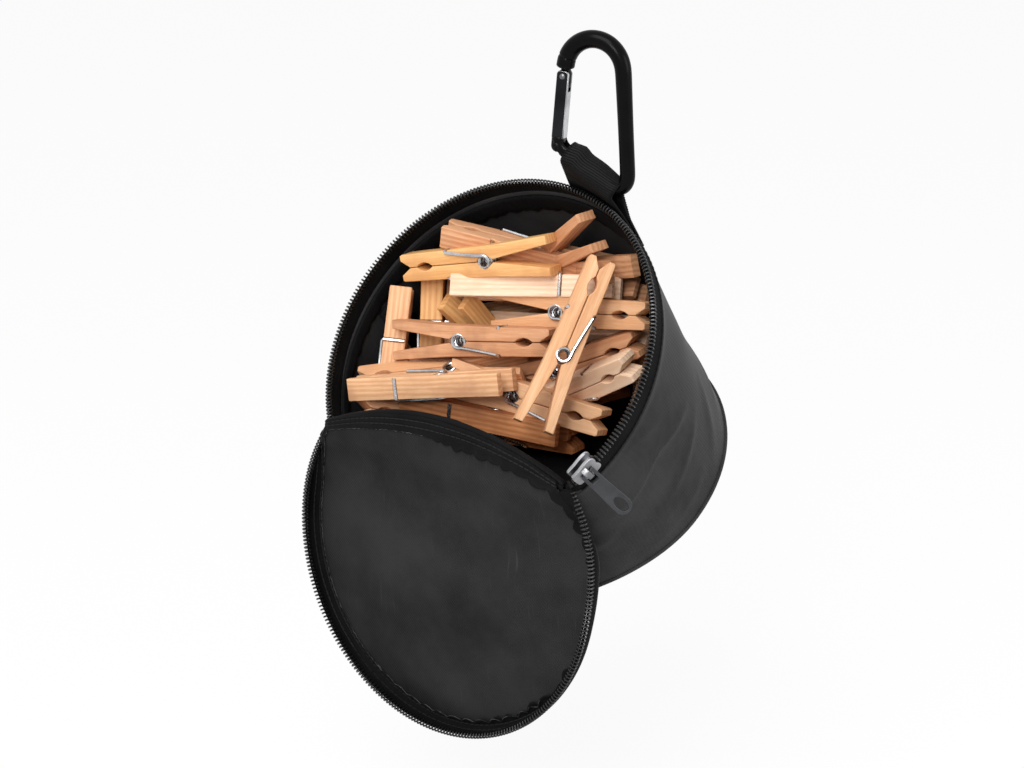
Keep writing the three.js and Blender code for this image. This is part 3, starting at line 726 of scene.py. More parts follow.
def lid_height(place):
    """How far back the inner face lies at a place of the panel."""
    from_middle = place - lid_middle
    edge = lid_outline(math.atan2(from_middle.x, from_middle.y))
    share = min(from_middle.length / (edge - lid_middle).length, 1)
    wave = lid_lump * noise.noise(Vector((place.x, place.y, 7)) / lid_lump_l)
    wave += lid_ripple * noise.noise(Vector((place.x, place.y, 3)) / lid_ripple_l)
    wave -= belly * math.exp(-((place.x / belly_half_w) ** 2)) * smooth_step(place.y, low=4, high=34)
    for start, end, rise, half_width in lid_creases:
        from_start = place - Vector(start)
        along = Vector(end) - Vector(start)
        part, away = beside(from_start, along)
        taper = math.sin(math.pi * min(max(part, lid_crease_end), 1 - lid_crease_end))
        wave -= rise * math.exp(-((away / half_width) ** 2)) * taper
    return mix(lid_rise * place.y, dish(edge.y), share ** 3) + wave * (1 - share ** 4) - forward(place.y)


# Coated inner face: nearly black, its weave showing, paler where it is rubbed and with fine scratches there.
# The scratches are drawn coarser than they are, so that they show.
rub_patch_l = 22
scratch_w = 0.7
scratch_l = 24
coated_nylon = woven(
    "nylon_coated_side", "#101011", "#2c2c2d",
    roughness=0.5, thread_mm=0.75, weave_depth=0.35, cloud_mm=60, gloss=0.06,
)
coated_tree = coated_nylon.node_tree
coated_shader = coated_tree.nodes["Principled BSDF"]
coated_place = add(coated_tree, "TexCoord")["Object"]
coated_colour = coated_shader.inputs["Base Color"].links[0].from_socket
rub_size = {"Scale": 1 / (rub_patch_l * mm), "Detail": 1}
rub_patches = add(coated_tree, "TexNoise", rub_size, {"Vector": coated_place})["Fac"]
rub_range = {"From Min": 0.52, "From Max": 0.66, "To Max": 0.22}
rubbed = add(coated_tree, "MapRange", rub_range, {"Value": rub_patches})[0]
scratch_scale = (1 / (scratch_w * mm), 1 / (scratch_l * mm), 1 / (scratch_l * mm))
for scratch_turn in ((0, 0.75, 0.1), (0, -0.7, 0.4)):
    slanted = {"Rotation": scratch_turn, "Scale": scratch_scale}
    scratch_place = add(coated_tree, "Mapping", slanted, {"Vector": coated_place})[0]
    scratch_noise = add(coated_tree, "TexNoise", {"Scale": 1, "Detail": 1}, {"Vector": scratch_place})["Fac"]
    fine = add(coated_tree, "MapRange", {"From Min": 0.68, "From Max": 0.75}, {"Value": scratch_noise})[0]
    scratch = add(coated_tree, "Math", {"operation": "MULTIPLY"}, {0: fine, 1: rubbed})[0]
    pale_line = {"data_type": "RGBA", 7: linear("#58585a")}
    coated_colour = add(coated_tree, "Mix", pale_line, {0: scratch, 6: coated_colour})[2]
coated_tree.links.new(coated_colour, coated_shader.inputs["Base Color"])

lid_rows = []
for share in spread(0, 1, lid_rings):
    row = []
    for angle in spread(-math.pi, math.pi, lid_steps)[:-1]:
        place = lid_middle.lerp(lid_outline(angle), max(share, lid_hub))
        row.append(in_lid(place.x, place.y, lid_height(place)))
    lid_rows.append(row)
lid_shape = loft(lid_rows, round_rows=True)
lid_shape[1].append(tuple(reversed(range(lid_steps))))
lid = thicken(make_piece("lid_cloth", lid_shape, face_nylon), cloth_t, offset=1)
lid.data.materials.append(coated_nylon)
lid.modifiers["thickness"].material_offset = 1
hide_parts("lid_panel")
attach(lid, "lid")


# Zip half on the lid: the same tape and coil, sewn round the panel with two rows of thread.
# The tape stands up from the panel as the low side of the dish, and bows out where it is sewn.
lid_zip_half = zip_half - math.radians(1)
lid_tape_z = coil_gap / 2 + coil_h + 0.1
lid_tape_bow = 1.2
lid_tape_over = 0.2
lid_row_r = mouth_r - 4


def lid_tape_point(angle, share):
    """A place on the lid's tape, from the coil to the panel's edge."""
    coil_side = on_rim(angle, mouth_r, lid_tape_z) + Vector((0, hinge_offset, 0))
    edge = panel_edge(angle)
    panel_side = Vector((edge.x, edge.y, dish(edge.y) - forward(edge.y) - lid_tape_over))
    swell = on_rim(angle, lid_tape_bow * math.sin(math.pi * share), 0)
    return coil_side.lerp(panel_side, share) + swell


lid_tape_grid = []
for angle in spread(-lid_zip_half, lid_zip_half, tape_steps):
    lid_tape_grid.append([in_lid(*lid_tape_point(angle, share)) for share in spread(-0.06, 1.04, steps=8)])
lid_tape = thicken(make_piece("lid_zip_tape_cloth", loft(lid_tape_grid), zip_weave), tape_t, offset=0)
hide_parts("lid_zip_tape")
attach(lid_tape, "lid")

lid_teeth_path = coil_path(-lid_zip_half, coil_half, lambda x, y, z: in_lid(x, y + hinge_offset, z), side=1)
lid_coil = make_piece("lid_zip_teeth", tube(lid_teeth_path, tooth_wire, sides=6), coil_nylon)
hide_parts("lid_zip_coil")
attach(lid_coil, "lid")

lid_stitch_count = int(2 * lid_zip_half * lid_row_r / stitch_l)
for row_name, row_share in (("lid_stitches_outer", 0.62), ("lid_stitches_inner", 0.93)):
    row_normals = []
    row_places = []
    for angle in spread(-lid_zip_half, lid_zip_half, lid_stitch_count):
        across = in_lid(*lid_tape_point(angle, 1)) - in_lid(*lid_tape_point(angle, 0))
        around = in_lid(*lid_tape_point(angle + 0.01, 0.5)) - in_lid(*lid_tape_point(angle - 0.01, 0.5))
        normal = across.cross(around).normalized()
        inward = in_lid(0, hinge_offset, -40) - in_lid(*lid_tape_point(angle, 0.5))
        normal = normal if normal.dot(inward) > 0 else -normal
        row_normals.append(normal)
        row_places.append(in_lid(*lid_tape_point(angle, row_share)) + normal * (tape_t / 2) * mm)
    row_piece = make_piece(row_name, stitches(row_places, row_normals), thread_finish)
    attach(row_piece, "lid")


# Lid's raw edge: the panel's seam allowance, turned to the inside, cut in uneven scallops and left to fray.
# It shows on the right and over the hinge. On the left it lies under the tape, with only its sewn line seen.
scallop_l = 8
scallop_depth = 2.4
scallop_foot = 0.5
scallop_drift = 2.4
edge_w = 0.9
edge_tuck = 0.4
edge_curl = 0.8
edge_steps = 640
edge_t = 0.45
edge_over_lid = 0.35
sewn_in = 1.1
sewn_sway = 0.25
sewn_lift = 0.1
loose_in = 1.2
loose_bow = 1.7
loose_lift = 0.5
loose_rise = 0.9
bow_degrees = 6


def uneven(angle, fineness, layer):
    """A value from about -1 to 1 that wanders round the lid and meets itself."""
    return noise.noise(Vector((math.sin(angle) * fineness, math.cos(angle) * fineness, layer)))


def scalloped(angle):
    """1 where the scallops show and 0 where they are tucked under."""
    turn = (math.degrees(angle) + 10) % 360
    return smooth_step(turn, low=0, high=30) * (1 - smooth_step(turn, low=178, high=205))


def raw_edge(angle):
    """How far in from the panel's edge the cut lies."""
    along = angle * mouth_r + scallop_drift * uneven(angle, fineness=4, layer=5)
    lobe = abs(math.sin(math.pi * along / scallop_l)) ** 0.6
    depth = scallop_depth * lobe * (0.8 + 0.8 * uneven(angle, fineness=7, layer=1))
    return edge_w + scalloped(angle) * (scallop_foot + depth)


def edge_point(angle, step_in, lift):
    """A place on the raw edge: so far in from the panel's edge, and lifted so far off the panel."""
    place = lid_outline(angle, step_in)
    return in_lid(place.x, place.y, lid_height(place) - edge_over_lid - lift)


edge_rows = []
for angle in full_turn(edge_steps):
    cut = raw_edge(angle)
    curl = scalloped(angle) * (edge_curl + edge_curl * uneven(angle, fineness=5, layer=9))
    parts = spread(0, 1, steps=6)
    edge_rows.append([edge_point(angle, mix(-edge_tuck, cut, part), curl * part ** 2) for part in parts])
lid_edge = thicken(make_piece("lid_raw_edge", loft(edge_rows, ring=True), raw_nylon), edge_t, offset=0)
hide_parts("lid_seam_allowance")
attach(lid_edge, "lid")

# Frayed nylon ends: fine pale filaments, drawn a little thicker than they are so that they show.
frayed_finish = flecked(
    "frayed_nylon", {"Roughness": 0.6, "Specular IOR Level": 0.2}, "#161617", "#4c4c4e",
    fleck_mm=2.5, detail=3, contrast=(0.42, 0.6),
)
sewn_line = []
for step, turn in enumerate(spread(-176, -30, steps=240)):
    sewn_line.append(edge_point(math.radians(turn), sewn_in + sewn_sway * math.sin(step * 1.9), sewn_lift))
loose_thread = []
for turn in spread(-34, 44, steps=240):
    bow = abs(math.sin(math.pi * turn / bow_degrees + noise.noise(Vector((turn / 9, 1, 2)))))
    step_in, lift = loose_in + loose_bow * bow, loose_lift + loose_rise * bow
    loose_thread.append(edge_point(math.radians(turn), step_in, lift))
fray_shape = joined(tube(sewn_line, radius=0.15, sides=5), tube(loose_thread, radius=0.14, sides=5))
fray = make_piece("lid_frayed_threads", fray_shape, frayed_finish)
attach(fray, "lid")


# Lid's hinge band: the lid's side next to the hinge is bound with a doubled strip, sewn in two rows.
# It follows the arch of the hinge cloth, and its rows draw it into narrow ridges.
band_rows = (1.6, 4.2)
band_w = 6.0
band_lap = 1.2
band_t = 0.6
band_narrowing = 0.45
band_forward = 0.3
band_sway = 0.4
ridge_rise = 0.5
ridge_half_w = 0.6
band_columns = 30
band_steps = 72


def band_point(share, out):
    """A place on the band, at a distance up from the panel's arched edge."""
    x = share * arch_half
    narrow = 1 - band_narrowing * share * share
    ridge = sum(math.exp(-(((out - row) / ridge_half_w) ** 2)) for row in band_rows)
    sway = band_sway * noise.noise(Vector((share * 6, out / 4, 2)))
    y = arch_y(x) - out * narrow
    return in_lid(x, y, dish(y) - forward(y) - band_forward + ridge_rise * ridge + sway)


band_grid = []
for share in spread(-1, 1, band_steps):
    band_grid.append([band_point(share, out) for out in spread(-band_lap, band_w, band_columns)])
band = thicken(make_piece("lid_hinge_band_cloth", loft(band_grid), raw_nylon), band_t, offset=0)
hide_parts("lid_hinge_band")
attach(band, "lid")
band_shares = spread(-1, 1, int(2 * arch_half / stitch_l))
for number, row in enumerate(band_rows):
    places = [band_point(share, row) - lid_out * (band_t / 2) * mm for share in band_shares]
    row_shape = stitches(places, [-lid_out] * len(places))
    row_piece = make_piece(f"lid_band_stitches_{number + 1}", row_shape, thread_finish)
    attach(row_piece, "lid")


# Slider: a zinc casting, two shield-shaped plates with turned-in sides, a post between them at the head
# and a low bridge for the tab. It waits at the open end of the zip.
slider_l = 11.6
slider_at = coil_half - (slider_l / 2 + 1.5) / mouth_r
slider_origin = in_mouth(*on_rim(slider_at, mouth_r, 0))
slider_along = along_hinge * math.cos(slider_at) - up_mouth * math.sin(slider_at)
slider_outward = along_hinge * math.sin(slider_at) + up_mouth * math.cos(slider_at)
plate_t = 0.8
channel = 1.6
plate_middle = channel + plate_t / 2
plate_outer = channel + plate_t
lip_middle = channel - 0.1
lip_t = plate_t * 1.3


def metal(name, dark, light, roughness, grit_mm, grit_depth, edge_colour=None, metallic=1.0, gloss=0.5):
    """A metal finish whose tone and polish vary with its grit, with a fine bump. Real grit would be too fine
    to show, so it is drawn 0.5 mm wide or more. edge_colour gives paler edges: worn, and on the painted
    tab partly a painted highlight. gloss is the mirror-like share of a painted or anodised skin."""
    finish, tree, shader = new_finish(name, {"Metallic": metallic, "Specular IOR Level": gloss})
    place = add(tree, "TexCoord")["Object"]
    grains = {"Scale": 1 / (grit_mm * mm), "Detail": 5, "Roughness": 0.6}
    grit = add(tree, "TexNoise", grains, {"Vector": place})["Fac"]
    patch = add(tree, "TexNoise", {"Scale": 1 / (14 * grit_mm * mm), "Detail": 3}, {"Vector": place})["Fac"]
    blend = add(tree, "Math", {"operation": "MULTIPLY_ADD", 1: 0.5}, {0: grit, 2: patch})[0]
    tone = add(tree, "MapRange", {"From Min": 0.5, "From Max": 1.0}, {"Value": blend})[0]
    colour = add(tree, "Mix", {"data_type": "RGBA", 6: linear(dark), 7: linear(light)}, {0: tone})[2]
    if edge_colour:
        # Paler where the surface is pointy: worn edges, and on the painted tab partly a painted highlight.
        edge = add(tree, "NewGeometry")["Pointiness"]
        worn_and_highlit_edge = add(tree, "MapRange", {"From Min": 0.52, "From Max": 0.6}, {"Value": edge})[0]
        chipped_and_highlit_edge = add(tree, "Math", {"operation": "MULTIPLY", "use_clamp": True}, {0: worn_and_highlit_edge, 1: blend})[0]
        colour = add(tree, "Mix", {"data_type": "RGBA", 7: linear(edge_colour)}, {0: chipped_and_highlit_edge, 6: colour})[2]
    polish_range = {"To Min": roughness - 0.06, "To Max": roughness + 0.1}
    polish = add(tree, "MapRange", polish_range, {"Value": grit})[0]
    tree.links.new(polish, shader.inputs["Roughness"])
    paint(tree, shader, colour, grit, grit_depth, bump_mm=0.1)
    return finish


def soften(corners, rounds=2):
    """Cuts the corners of a closed outline again and again, so that it comes out rounded."""
    for _ in range(rounds):
        cut = []
        for spot, corner in enumerate(corners):
            after = corners[(spot + 1) % len(corners)]
            for share in (0.25, 0.75):
                cut.append((mix(corner[0], after[0], share), mix(corner[1], after[1], share)))
        corners = cut
    return corners


def plate(outlines, thickness, bevel):
    """A flat plate with rounded edges from its outline and any holes, in mm, its middle plane at 0."""
    curve = bpy.data.curves.new("plate", "CURVE")
    curve.dimensions = "2D"
    curve.fill_mode = "BOTH"
    curve.extrude = thickness / 2 - bevel
    curve.bevel_depth = bevel
    curve.bevel_resolution = 2
    curve.offset = -bevel
    for outline in outlines:
        spline = curve.splines.new("POLY")
        spline.points.add(len(outline) - 1)
        for point, corner in zip(spline.points, outline):
            point.co = (corner[0], corner[1], 0, 1)
        spline.use_cyclic_u = True
    holder = bpy.data.objects.new("plate", curve)
    scene.collection.objects.link(holder)
    bpy.context.view_layer.update()
    mesh = holder.to_mesh()
    shape = [tuple(vertex.co) for vertex in mesh.vertices], [tuple(face.vertices) for face in mesh.polygons]
    holder.to_mesh_clear()
    bpy.data.objects.remove(holder)
    bpy.data.curves.remove(curve)
    return shape


def placed(shape, place):
    """A shape with each of its points put where place says."""
    points, faces = shape
    return [place(*point) for point in points], faces


def in_slider(x, y, z):
    """A place on the slider: x along the zip, y away from the bag and z out of the mouth."""
    return slider_origin + (slider_along * x + slider_outward * y + out_of_mouth * z) * mm


# Cast zinc: grey with a fine sandy skin from the mould, half dull.
cast_zinc = metal("cast_zinc", "#7d7d80", "#b4b4b7", roughness=0.42, grit_mm=0.5, grit_depth=0.5)
half_shield = [
    (5.8, 0), (5.8, 2.6), (5.0, 3.6), (1.5, 3.8), (-1.5, 4.5),
    (-4.4, 4.5), (-5.8, 3.6), (-5.8, 1.4), (-5.0, 0),
]
shield = soften(half_shield + [(x, -z) for x, z in reversed(half_shield[1:-1])])
half_lip = [
    (5.2, 2.9), (5.2, 3.5), (1.5, 3.75), (-1.5, 4.4), (-4.6, 4.4), (-4.6, 3.7), (-1.5, 3.7), (1.5, 3.05),
]
bridge_outline = [
    (-3.1, -0.4), (-3.1, 1.1), (-2.4, 2.0), (-1.6, 2.1), (1.6, 2.1), (2.4, 2.0), (3.1, 1.1), (3.1, -0.4),
    (2.2, -0.4), (2.2, 0.9), (1.8, 1.3), (-1.8, 1.3), (-2.2, 0.9), (-2.2, -0.4),
]
post_outline = soften([(-5.0, 0), (-3.2, 0.5), (-1.6, 0.35), (-1.6, -0.35), (-3.2, -0.5)], rounds=1)
slider_shapes = []
for side in (-1, 1):
    shield_plate = plate([shield], plate_t, bevel=0.25)
    slider_shapes.append(placed(shield_plate, lambda x, z, y: in_slider(x, side * plate_middle + y, z)))
    for edge in (-1, 1):
        lip = plate([[(x, edge * z) for x, z in half_lip]], lip_t, bevel=0.15)
        slider_shapes.append(placed(lip, lambda x, z, y: in_slider(x, side * lip_middle + y, z)))
bridge = plate([bridge_outline], thickness=2.6, bevel=0.3)
slider_shapes.append(placed(bridge, lambda z, y, x: in_slider(x, plate_outer + y, z)))
post = plate([post_outline], thickness=3.9, bevel=0.1)
slider_shapes.append(placed(post, lambda x, z, y: in_slider(x, y, z)))
slider = make_piece("slider_casting", joined(*slider_shapes), cast_zinc, sharp=40)
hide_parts("slider_body")
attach(slider, "slider")


# Pull tab: a flat zinc stamping, painted dark grey, with a slot round the bridge and an oval finger hole.
# Its pale edges are partly paint that handling has polished off and partly a painted highlight.
# The zip's crimped stops are lacquered black.
tab_origin = Vector(joints["tab_flip"]["pos_m"])
tab_hang = math.radians(35.6)
tab_outward = slider_outward * math.cos(tab_hang) + out_of_mouth * math.sin(tab_hang)
tab_up = out_of_mouth * math.cos(tab_hang) - slider_outward * math.sin(tab_hang)
tab_half = 3.7
tab_l = 23
tab_t = 0.9
tab_turn = tab_half - tab_l
hole_middle = tab_turn + 1
hole_half_w = 2.1
hole_half_l = 3.6
# Painted zinc: satin dark grey, with pale edges that are partly worn bright metal and partly a painted
# highlight.
painted_zinc = metal(
    "painted_zinc", "#2c2d2f", "#3e3f42",
    roughness=0.38, grit_mm=0.6, grit_depth=0.25, edge_colour="#b5b6ba", metallic=0.4,
)
# Black lacquer: a thin dull coat that hides the metal.
black_lacquer = metal(
    "black_lacquer", "#0a0a0b", "#131314",
    roughness=0.4, grit_mm=0.5, grit_depth=0.2, metallic=0, gloss=0.1,
)
for stop in ("zip_bottom_stop", "body_zip_top_stop", "lid_zip_top_stop"):
    for material_slot in frame["nodes"][stop].material_slots:
        material_slot.material = black_lacquer
tab_outline = [(-2.6, 0.5), (2.6, 0.5), (3.1, 0.2), (3.2, -3), (3.2, -6.5)]
for turn in spread(0, -math.pi, steps=16):
    tab_outline.append((tab_half * math.cos(turn), tab_turn + tab_half * math.sin(turn)))
tab_outline += [(-3.2, -6.5), (-3.2, -3), (-3.1, 0.2)]
tab_window = [(-1.8, -0.5), (-1.8, -4.4), (-1.5, -4.7), (1.5, -4.7), (1.8, -4.4), (1.8, -0.5)]
tab_hole = []
for turn in full_turn(28):
    tab_hole.append((hole_half_w * math.cos(turn), hole_middle + hole_half_l * math.sin(turn)))
tab_shape = placed(
    plate([tab_outline, tab_window, tab_hole], tab_t, bevel=0.2),
    lambda x, z, y: tab_origin + (slider_along * x + tab_outward * y + tab_up * z) * mm,
)
tab = make_piece("tab_stamping", tab_shape, painted_zinc, sharp=40)
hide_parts("pull_tab")
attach(tab, "pull_tab")


# Hanging loop: ribbed polypropylene webbing round the carabiner's bar, both of its ends sewn under the rim.
# Its ribs lie along the bar, and the load draws it narrow there.
bar_centre = Vector(joints["bag_swing"]["pos_m"])
bar_axis = Vector(joints["bag_swing"]["axis"]).normalized()
bar_forward = bar_axis.cross(Vector((0, 0, 1))).normalized()
bar_up = bar_axis.cross(bar_forward)
bar_up = bar_up if bar_up.z > 0 else -bar_up
bar_r = 3.4
strap_t = 1.2
strap_w_bar = 26
strap_along_bar = 2
strap_w_rim = 32
strap_foot = 12
loop_r = bar_r + 0.8 + strap_t / 2
loop_angle = math.radians(16.4)
strap_layers = (1.5, 3.0)
wrap_from = math.pi + math.radians(36)
wrap_to = -math.radians(5)
rib_l = 1.05
rib_depth = 0.16
strap_rows = 420
strap_columns = 16
strap_middle = strap_columns // 2
# Sewn and pulled askew, it stands off the bar in a small bump at one side and a long low one:
# how high each is, where it lies across the webbing from -1 to 1, and its half width.
strap_bumps = [(1.3, -0.62, 0.2), (0.7, 0.15, 0.5)]
# Polypropylene webbing: deep black and slightly waxy, its short fibres drawn coarser than they are.
webbing_finish = flecked(
    "polypropylene_webbing", {"Roughness": 0.5, "Specular IOR Level": 0.12}, "#060607", "#111112",
    fleck_mm=0.8, detail=4, noise_roughness=0.7, bump=0.3,
)


def even_steps(corners, count, easing=60):
    """Places at even spacing along a line of corners, its bends eased, and the line's length."""
    lengths = [0]
    for start, end in zip(corners[:-1], corners[1:]):
        lengths.append(lengths[-1] + (end - start).length)
    steps = []
    span = 0
    for step in range(count):
        at = lengths[-1] * step / (count - 1)
        while span < len(corners) - 2 and lengths[span + 1] < at:
            span += 1
        part = (at - lengths[span]) / (lengths[span + 1] - lengths[span])
        steps.append(corners[span].lerp(corners[span + 1], part))
    for _ in range(easing):
        triples = zip(steps[:-2], steps[1:-1], steps[2:])
        inside = [(before + here * 2 + after) / 4 for before, here, after in triples]
        steps = [steps[0]] + inside + [steps[-1]]
    return steps, lengths[-1]


def strap_line(side):
    """One line along the webbing, from its sewn end behind, over the bar, to its sewn end in front."""
    rim_angle = loop_angle + side * strap_w_rim / 2 / mouth_r
    low = strap_foot / wall_l
    ends = [
        [in_mouth(*wall_point(rim_angle, share, layer, soft=0)) for share in (low, low / 2, 0.0)]
        for layer in strap_layers
    ]
    centre = bar_centre + bar_axis * (side * strap_w_bar / 2 + strap_along_bar) * mm
    slack = sum(rise * math.exp(-(((side - at) / half_w) ** 2)) for rise, at, half_w in strap_bumps)
    over = []
    for turn in spread(wrap_from, wrap_to, steps=16):
        lift = loop_r + slack * max(math.sin(turn), 0)
        over.append(centre + (-bar_forward * math.cos(turn) + bar_up * math.sin(turn)) * lift * mm)
    return even_steps(ends[0] + over + ends[1][::-1], strap_rows)


strap_lines = [strap_line(side) for side in spread(-1, 1, strap_columns)]
strap_l = strap_lines[strap_middle][1] / mm
strap_grid = [[line[row] for line, _ in strap_lines] for row in range(strap_rows)]
ribbed_rows = []
for row in range(strap_rows):
    after, before = strap_grid[min(row + 1, strap_rows - 1)], strap_grid[max(row - 1, 0)]
    along = after[strap_middle] - before[strap_middle]
    across = strap_grid[row][-1] - strap_grid[row][0]
    out = across.cross(along).normalized()
    rib = rib_depth * math.sin(2 * math.pi * row / strap_rows * strap_l / rib_l)
    ribbed_rows.append([point + out * rib * mm for point in strap_grid[row]])
loop = make_piece("webbing_loop", loft(ribbed_rows), webbing_finish, sharp=60)
thicken(loop, strap_t - 2 * rib_depth, offset=0)
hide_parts("hanging_loop")
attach(loop, "bag")


# Carabiner: a round aluminium bar bent to shape, its nose turned to a collar and its lower end forked
# for the gate. Black anodising gives it a hard satin skin, with wear where it has rubbed.
carabiner_turn = math.radians(12)
top_middle = Vector((0, -9.1))
top_bend_r = 12.5
lower_corner = Vector((15.6, -60))
lower_bend_r = 4.5
pivot = Vector((-15.2, -40.6))
fork_bend_r = 5
nose = Vector((-12.5, -9.1))
to_nose = (nose - pivot).normalized()
fork_l = 3.8
collar_at = 4.5
groove_depth = 0.28
groove_half_w = 0.35
nose_round_r = 0.8
fork_round_r = 0.3
bar_taper = 0.3
bar_taper_l = 70
neck_half = 1.9
neck_play = 0.3
cup_r = 4.4
cup_middle = fork_l + 2.6
# Black anodised aluminium: deep black and smooth, with soft highlights along the bar and greyer worn edges.
black_anodised = metal(
    "black_anodised_aluminium", "#030304", "#070708",
    roughness=0.22, grit_mm=0.6, grit_depth=0.08, edge_colour="#161618", metallic=0, gloss=0.08,
)


def in_carabiner(x, z, y=0):
    """A place in the carabiner's plane, x across it, z up and y through it."""
    turned = Vector((
        x * math.cos(carabiner_turn) - y * math.sin(carabiner_turn),
        x * math.sin(carabiner_turn) + y * math.cos(carabiner_turn),
        z,
    ))
    return turned * mm


def on_gate(x, y, z):
    """A place on the gate: z from its pivot to its tip, x to the inside of the carabiner and y through it."""
    point = pivot + to_nose * z + Vector((to_nose.y, -to_nose.x)) * x
    return in_carabiner(point.x, point.y, y)


def flat_on_gate(x, z, y):
    """The same place, for a plate whose own third direction is its thickness."""
    return on_gate(x, y, z)


def bend(before, corner, after, radius, steps):
    """The round bend that takes a bar past a corner."""
    back, ahead = (before - corner).normalized(), (after - corner).normalized()
    half_angle = back.angle(ahead) / 2
    start = corner + back * radius / math.tan(half_angle)
    end = corner + ahead * radius / math.tan(half_angle)
    middle = corner + (back + ahead).normalized() * radius / math.sin(half_angle)
    spokes = []
    for step in range(steps + 1):
        chord = start.lerp(end, step / steps) - middle
        spokes.append(middle + chord.normalized() * radius)
    return spokes


def cut_away(piece, shape, sharp=40):
    """Cuts a closed shape out of a piece."""
    cutter = make_piece("cutter", shape, piece.data.materials[0])
    cut = piece.modifiers.new("cut", "BOOLEAN")
    cut.object = cutter
    cut.operation = "DIFFERENCE"
    cut.solver = "EXACT"
    bpy.context.view_layer.update()
    mesh = bpy.data.meshes.new_from_object(piece.evaluated_get(bpy.context.evaluated_depsgraph_get()))
    piece.modifiers.remove(cut)
    old = piece.data
    mesh.name = old.name
    piece.data = mesh
    bpy.data.meshes.remove(old)
    bpy.data.objects.remove(cutter)
    mesh.shade_smooth()
    mesh.set_sharp_from_angle(angle=math.radians(sharp))


def slot_shape(half_y, z_from, z_to):
    """A plain block across the gate's line, wider than the bar, for cutting a slot."""
    corners = [(x, y, z) for x in (-6, 6) for y in (-half_y, half_y) for z in (z_from, z_to)]
    faces = [(0, 1, 3, 2), (4, 6, 7, 5), (0, 4, 5, 1), (2, 3, 7, 6), (0, 2, 6, 4), (1, 5, 7, 3)]
    return placed((corners, faces), on_gate)


to_corner = lower_corner - top_middle
leg_turn = math.atan2(to_corner.y, to_corner.x) + math.acos(top_bend_r / to_corner.length)
top_arc = []
for turn in spread(math.pi, leg_turn, steps=40):
    top_arc.append(top_middle + Vector((math.cos(turn), math.sin(turn))) * top_bend_r)
corner_arc = bend(top_arc[-1], lower_corner, pivot, lower_bend_r, steps=16)
fork_arc = bend(lower_corner, pivot, nose, fork_bend_r, steps=14)
fork_tip = pivot + to_nose * fork_l
bar_line = [nose + Vector((0, 0.02))] + top_arc[1:] + corner_arc + fork_arc + [fork_tip]
bar_spots, bar_l = even_steps([Vector((point.x, point.y, 0)) for point in bar_line], count=320)
bar_radii = []
for spot in range(len(bar_spots)):
    from_nose = bar_l * spot / (len(bar_spots) - 1)
    to_fork = bar_l - from_nose
    groove = groove_depth * math.exp(-(((from_nose - collar_at) / groove_half_w) ** 2))
    nose_round = nose_round_r * max(0, 1 - from_nose / nose_round_r) ** 2
    fork_round = fork_round_r * max(0, 1 - to_fork) ** 2
    taper = bar_taper * math.cos(math.pi * min(from_nose / bar_taper_l, 1))
    bar_radii.append(bar_r + taper - groove - nose_round - fork_round)
bar_shape = tube([in_carabiner(point.x, point.y) for point in bar_spots], bar_radii, sides=28)
carabiner = make_piece("carabiner_bar", bar_shape, black_anodised, sharp=50)
cut_away(carabiner, slot_shape(neck_half + neck_play, z_from=-3.4, z_to=12))
cup = []
for y in (-8, 8):
    cup.append([
        on_gate(cup_r * math.cos(turn), y, cup_middle + cup_r * math.sin(turn)) for turn in full_turn(32)
    ])
cut_away(carabiner, loft(cup, round_rows=True, caps=True))
tongue_outline = [(-1.4, 31.8), (2.6, 31.8), (2.9, 24.2), (1.8, 23.4), (0.9, 24.4), (0.4, 27), (-1.4, 28.5)]
tongue = plate([soften(tongue_outline, rounds=1)], thickness=2.2, bevel=0.2)
tongue_piece = make_piece("nose_tongue", placed(tongue, flat_on_gate), black_anodised)
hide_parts("carabiner_frame")
for piece in (carabiner, tongue_piece):
    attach(piece, "carabiner")


# Gate: an aluminium arm with flat faces and rounded edges, its neck in the fork and its tip slotted for
# the nose. Its broad faces are anodised dark grey, partly a painted reflection of dark surroundings, and its
# edges are pale, partly rubbed bright by use and partly a painted highlight. Two domed rivets hold it.
gate_l = 30.7
gate_t = 4.8
tip_slot_l = 8.5
tip_slot_half = 1.25
neck_r = 2.5
neck_l = 6.5
broad_face = 0.9
# Grey anodised aluminium: dark, even and satin on the broad faces, its darkness partly a painted reflection
# of dark surroundings.
anodised_grey_and_reflection = metal(
    "grey_anodised_aluminium", "#1f2022", "#2b2c2e", roughness=0.3, grit_mm=0.7, grit_depth=0.15
)
# Rubbed aluminium: the bare metal of the edges, nearly a mirror, its pale colour partly a painted highlight.
rubbed_aluminium = metal(
    "rubbed_aluminium", "#9fa0a3", "#d2d3d5", roughness=0.2, grit_mm=0.7, grit_depth=0.1
)
# Plain steel: grey, with fine drawing marks.
plain_steel = metal("plain_steel", "#626366", "#88898c", roughness=0.28, grit_mm=0.5, grit_depth=0.2)
gate_outline = [
    (0, 2.25), (1.2, 2.45), (2.1, 2.9), (2.6, 3.4), (2.6, gate_l - 1.2), (2.0, gate_l - 0.3), (1.3, gate_l),
    (-1.3, gate_l), (-2.0, gate_l - 0.3), (-2.6, gate_l - 1.2), (-2.6, 3.4), (-2.1, 2.9), (-1.2, 2.45),
]
gate_shape = placed(plate([gate_outline], gate_t, bevel=0.6), flat_on_gate)
gate = make_piece("gate_arm", gate_shape, anodised_grey_and_reflection, sharp=60)
cut_away(gate, slot_shape(tip_slot_half, gate_l - tip_slot_l, gate_l + 4))
gate.data.materials.append(rubbed_aluminium)
through_gate = in_carabiner(0, 0, 1).normalized()
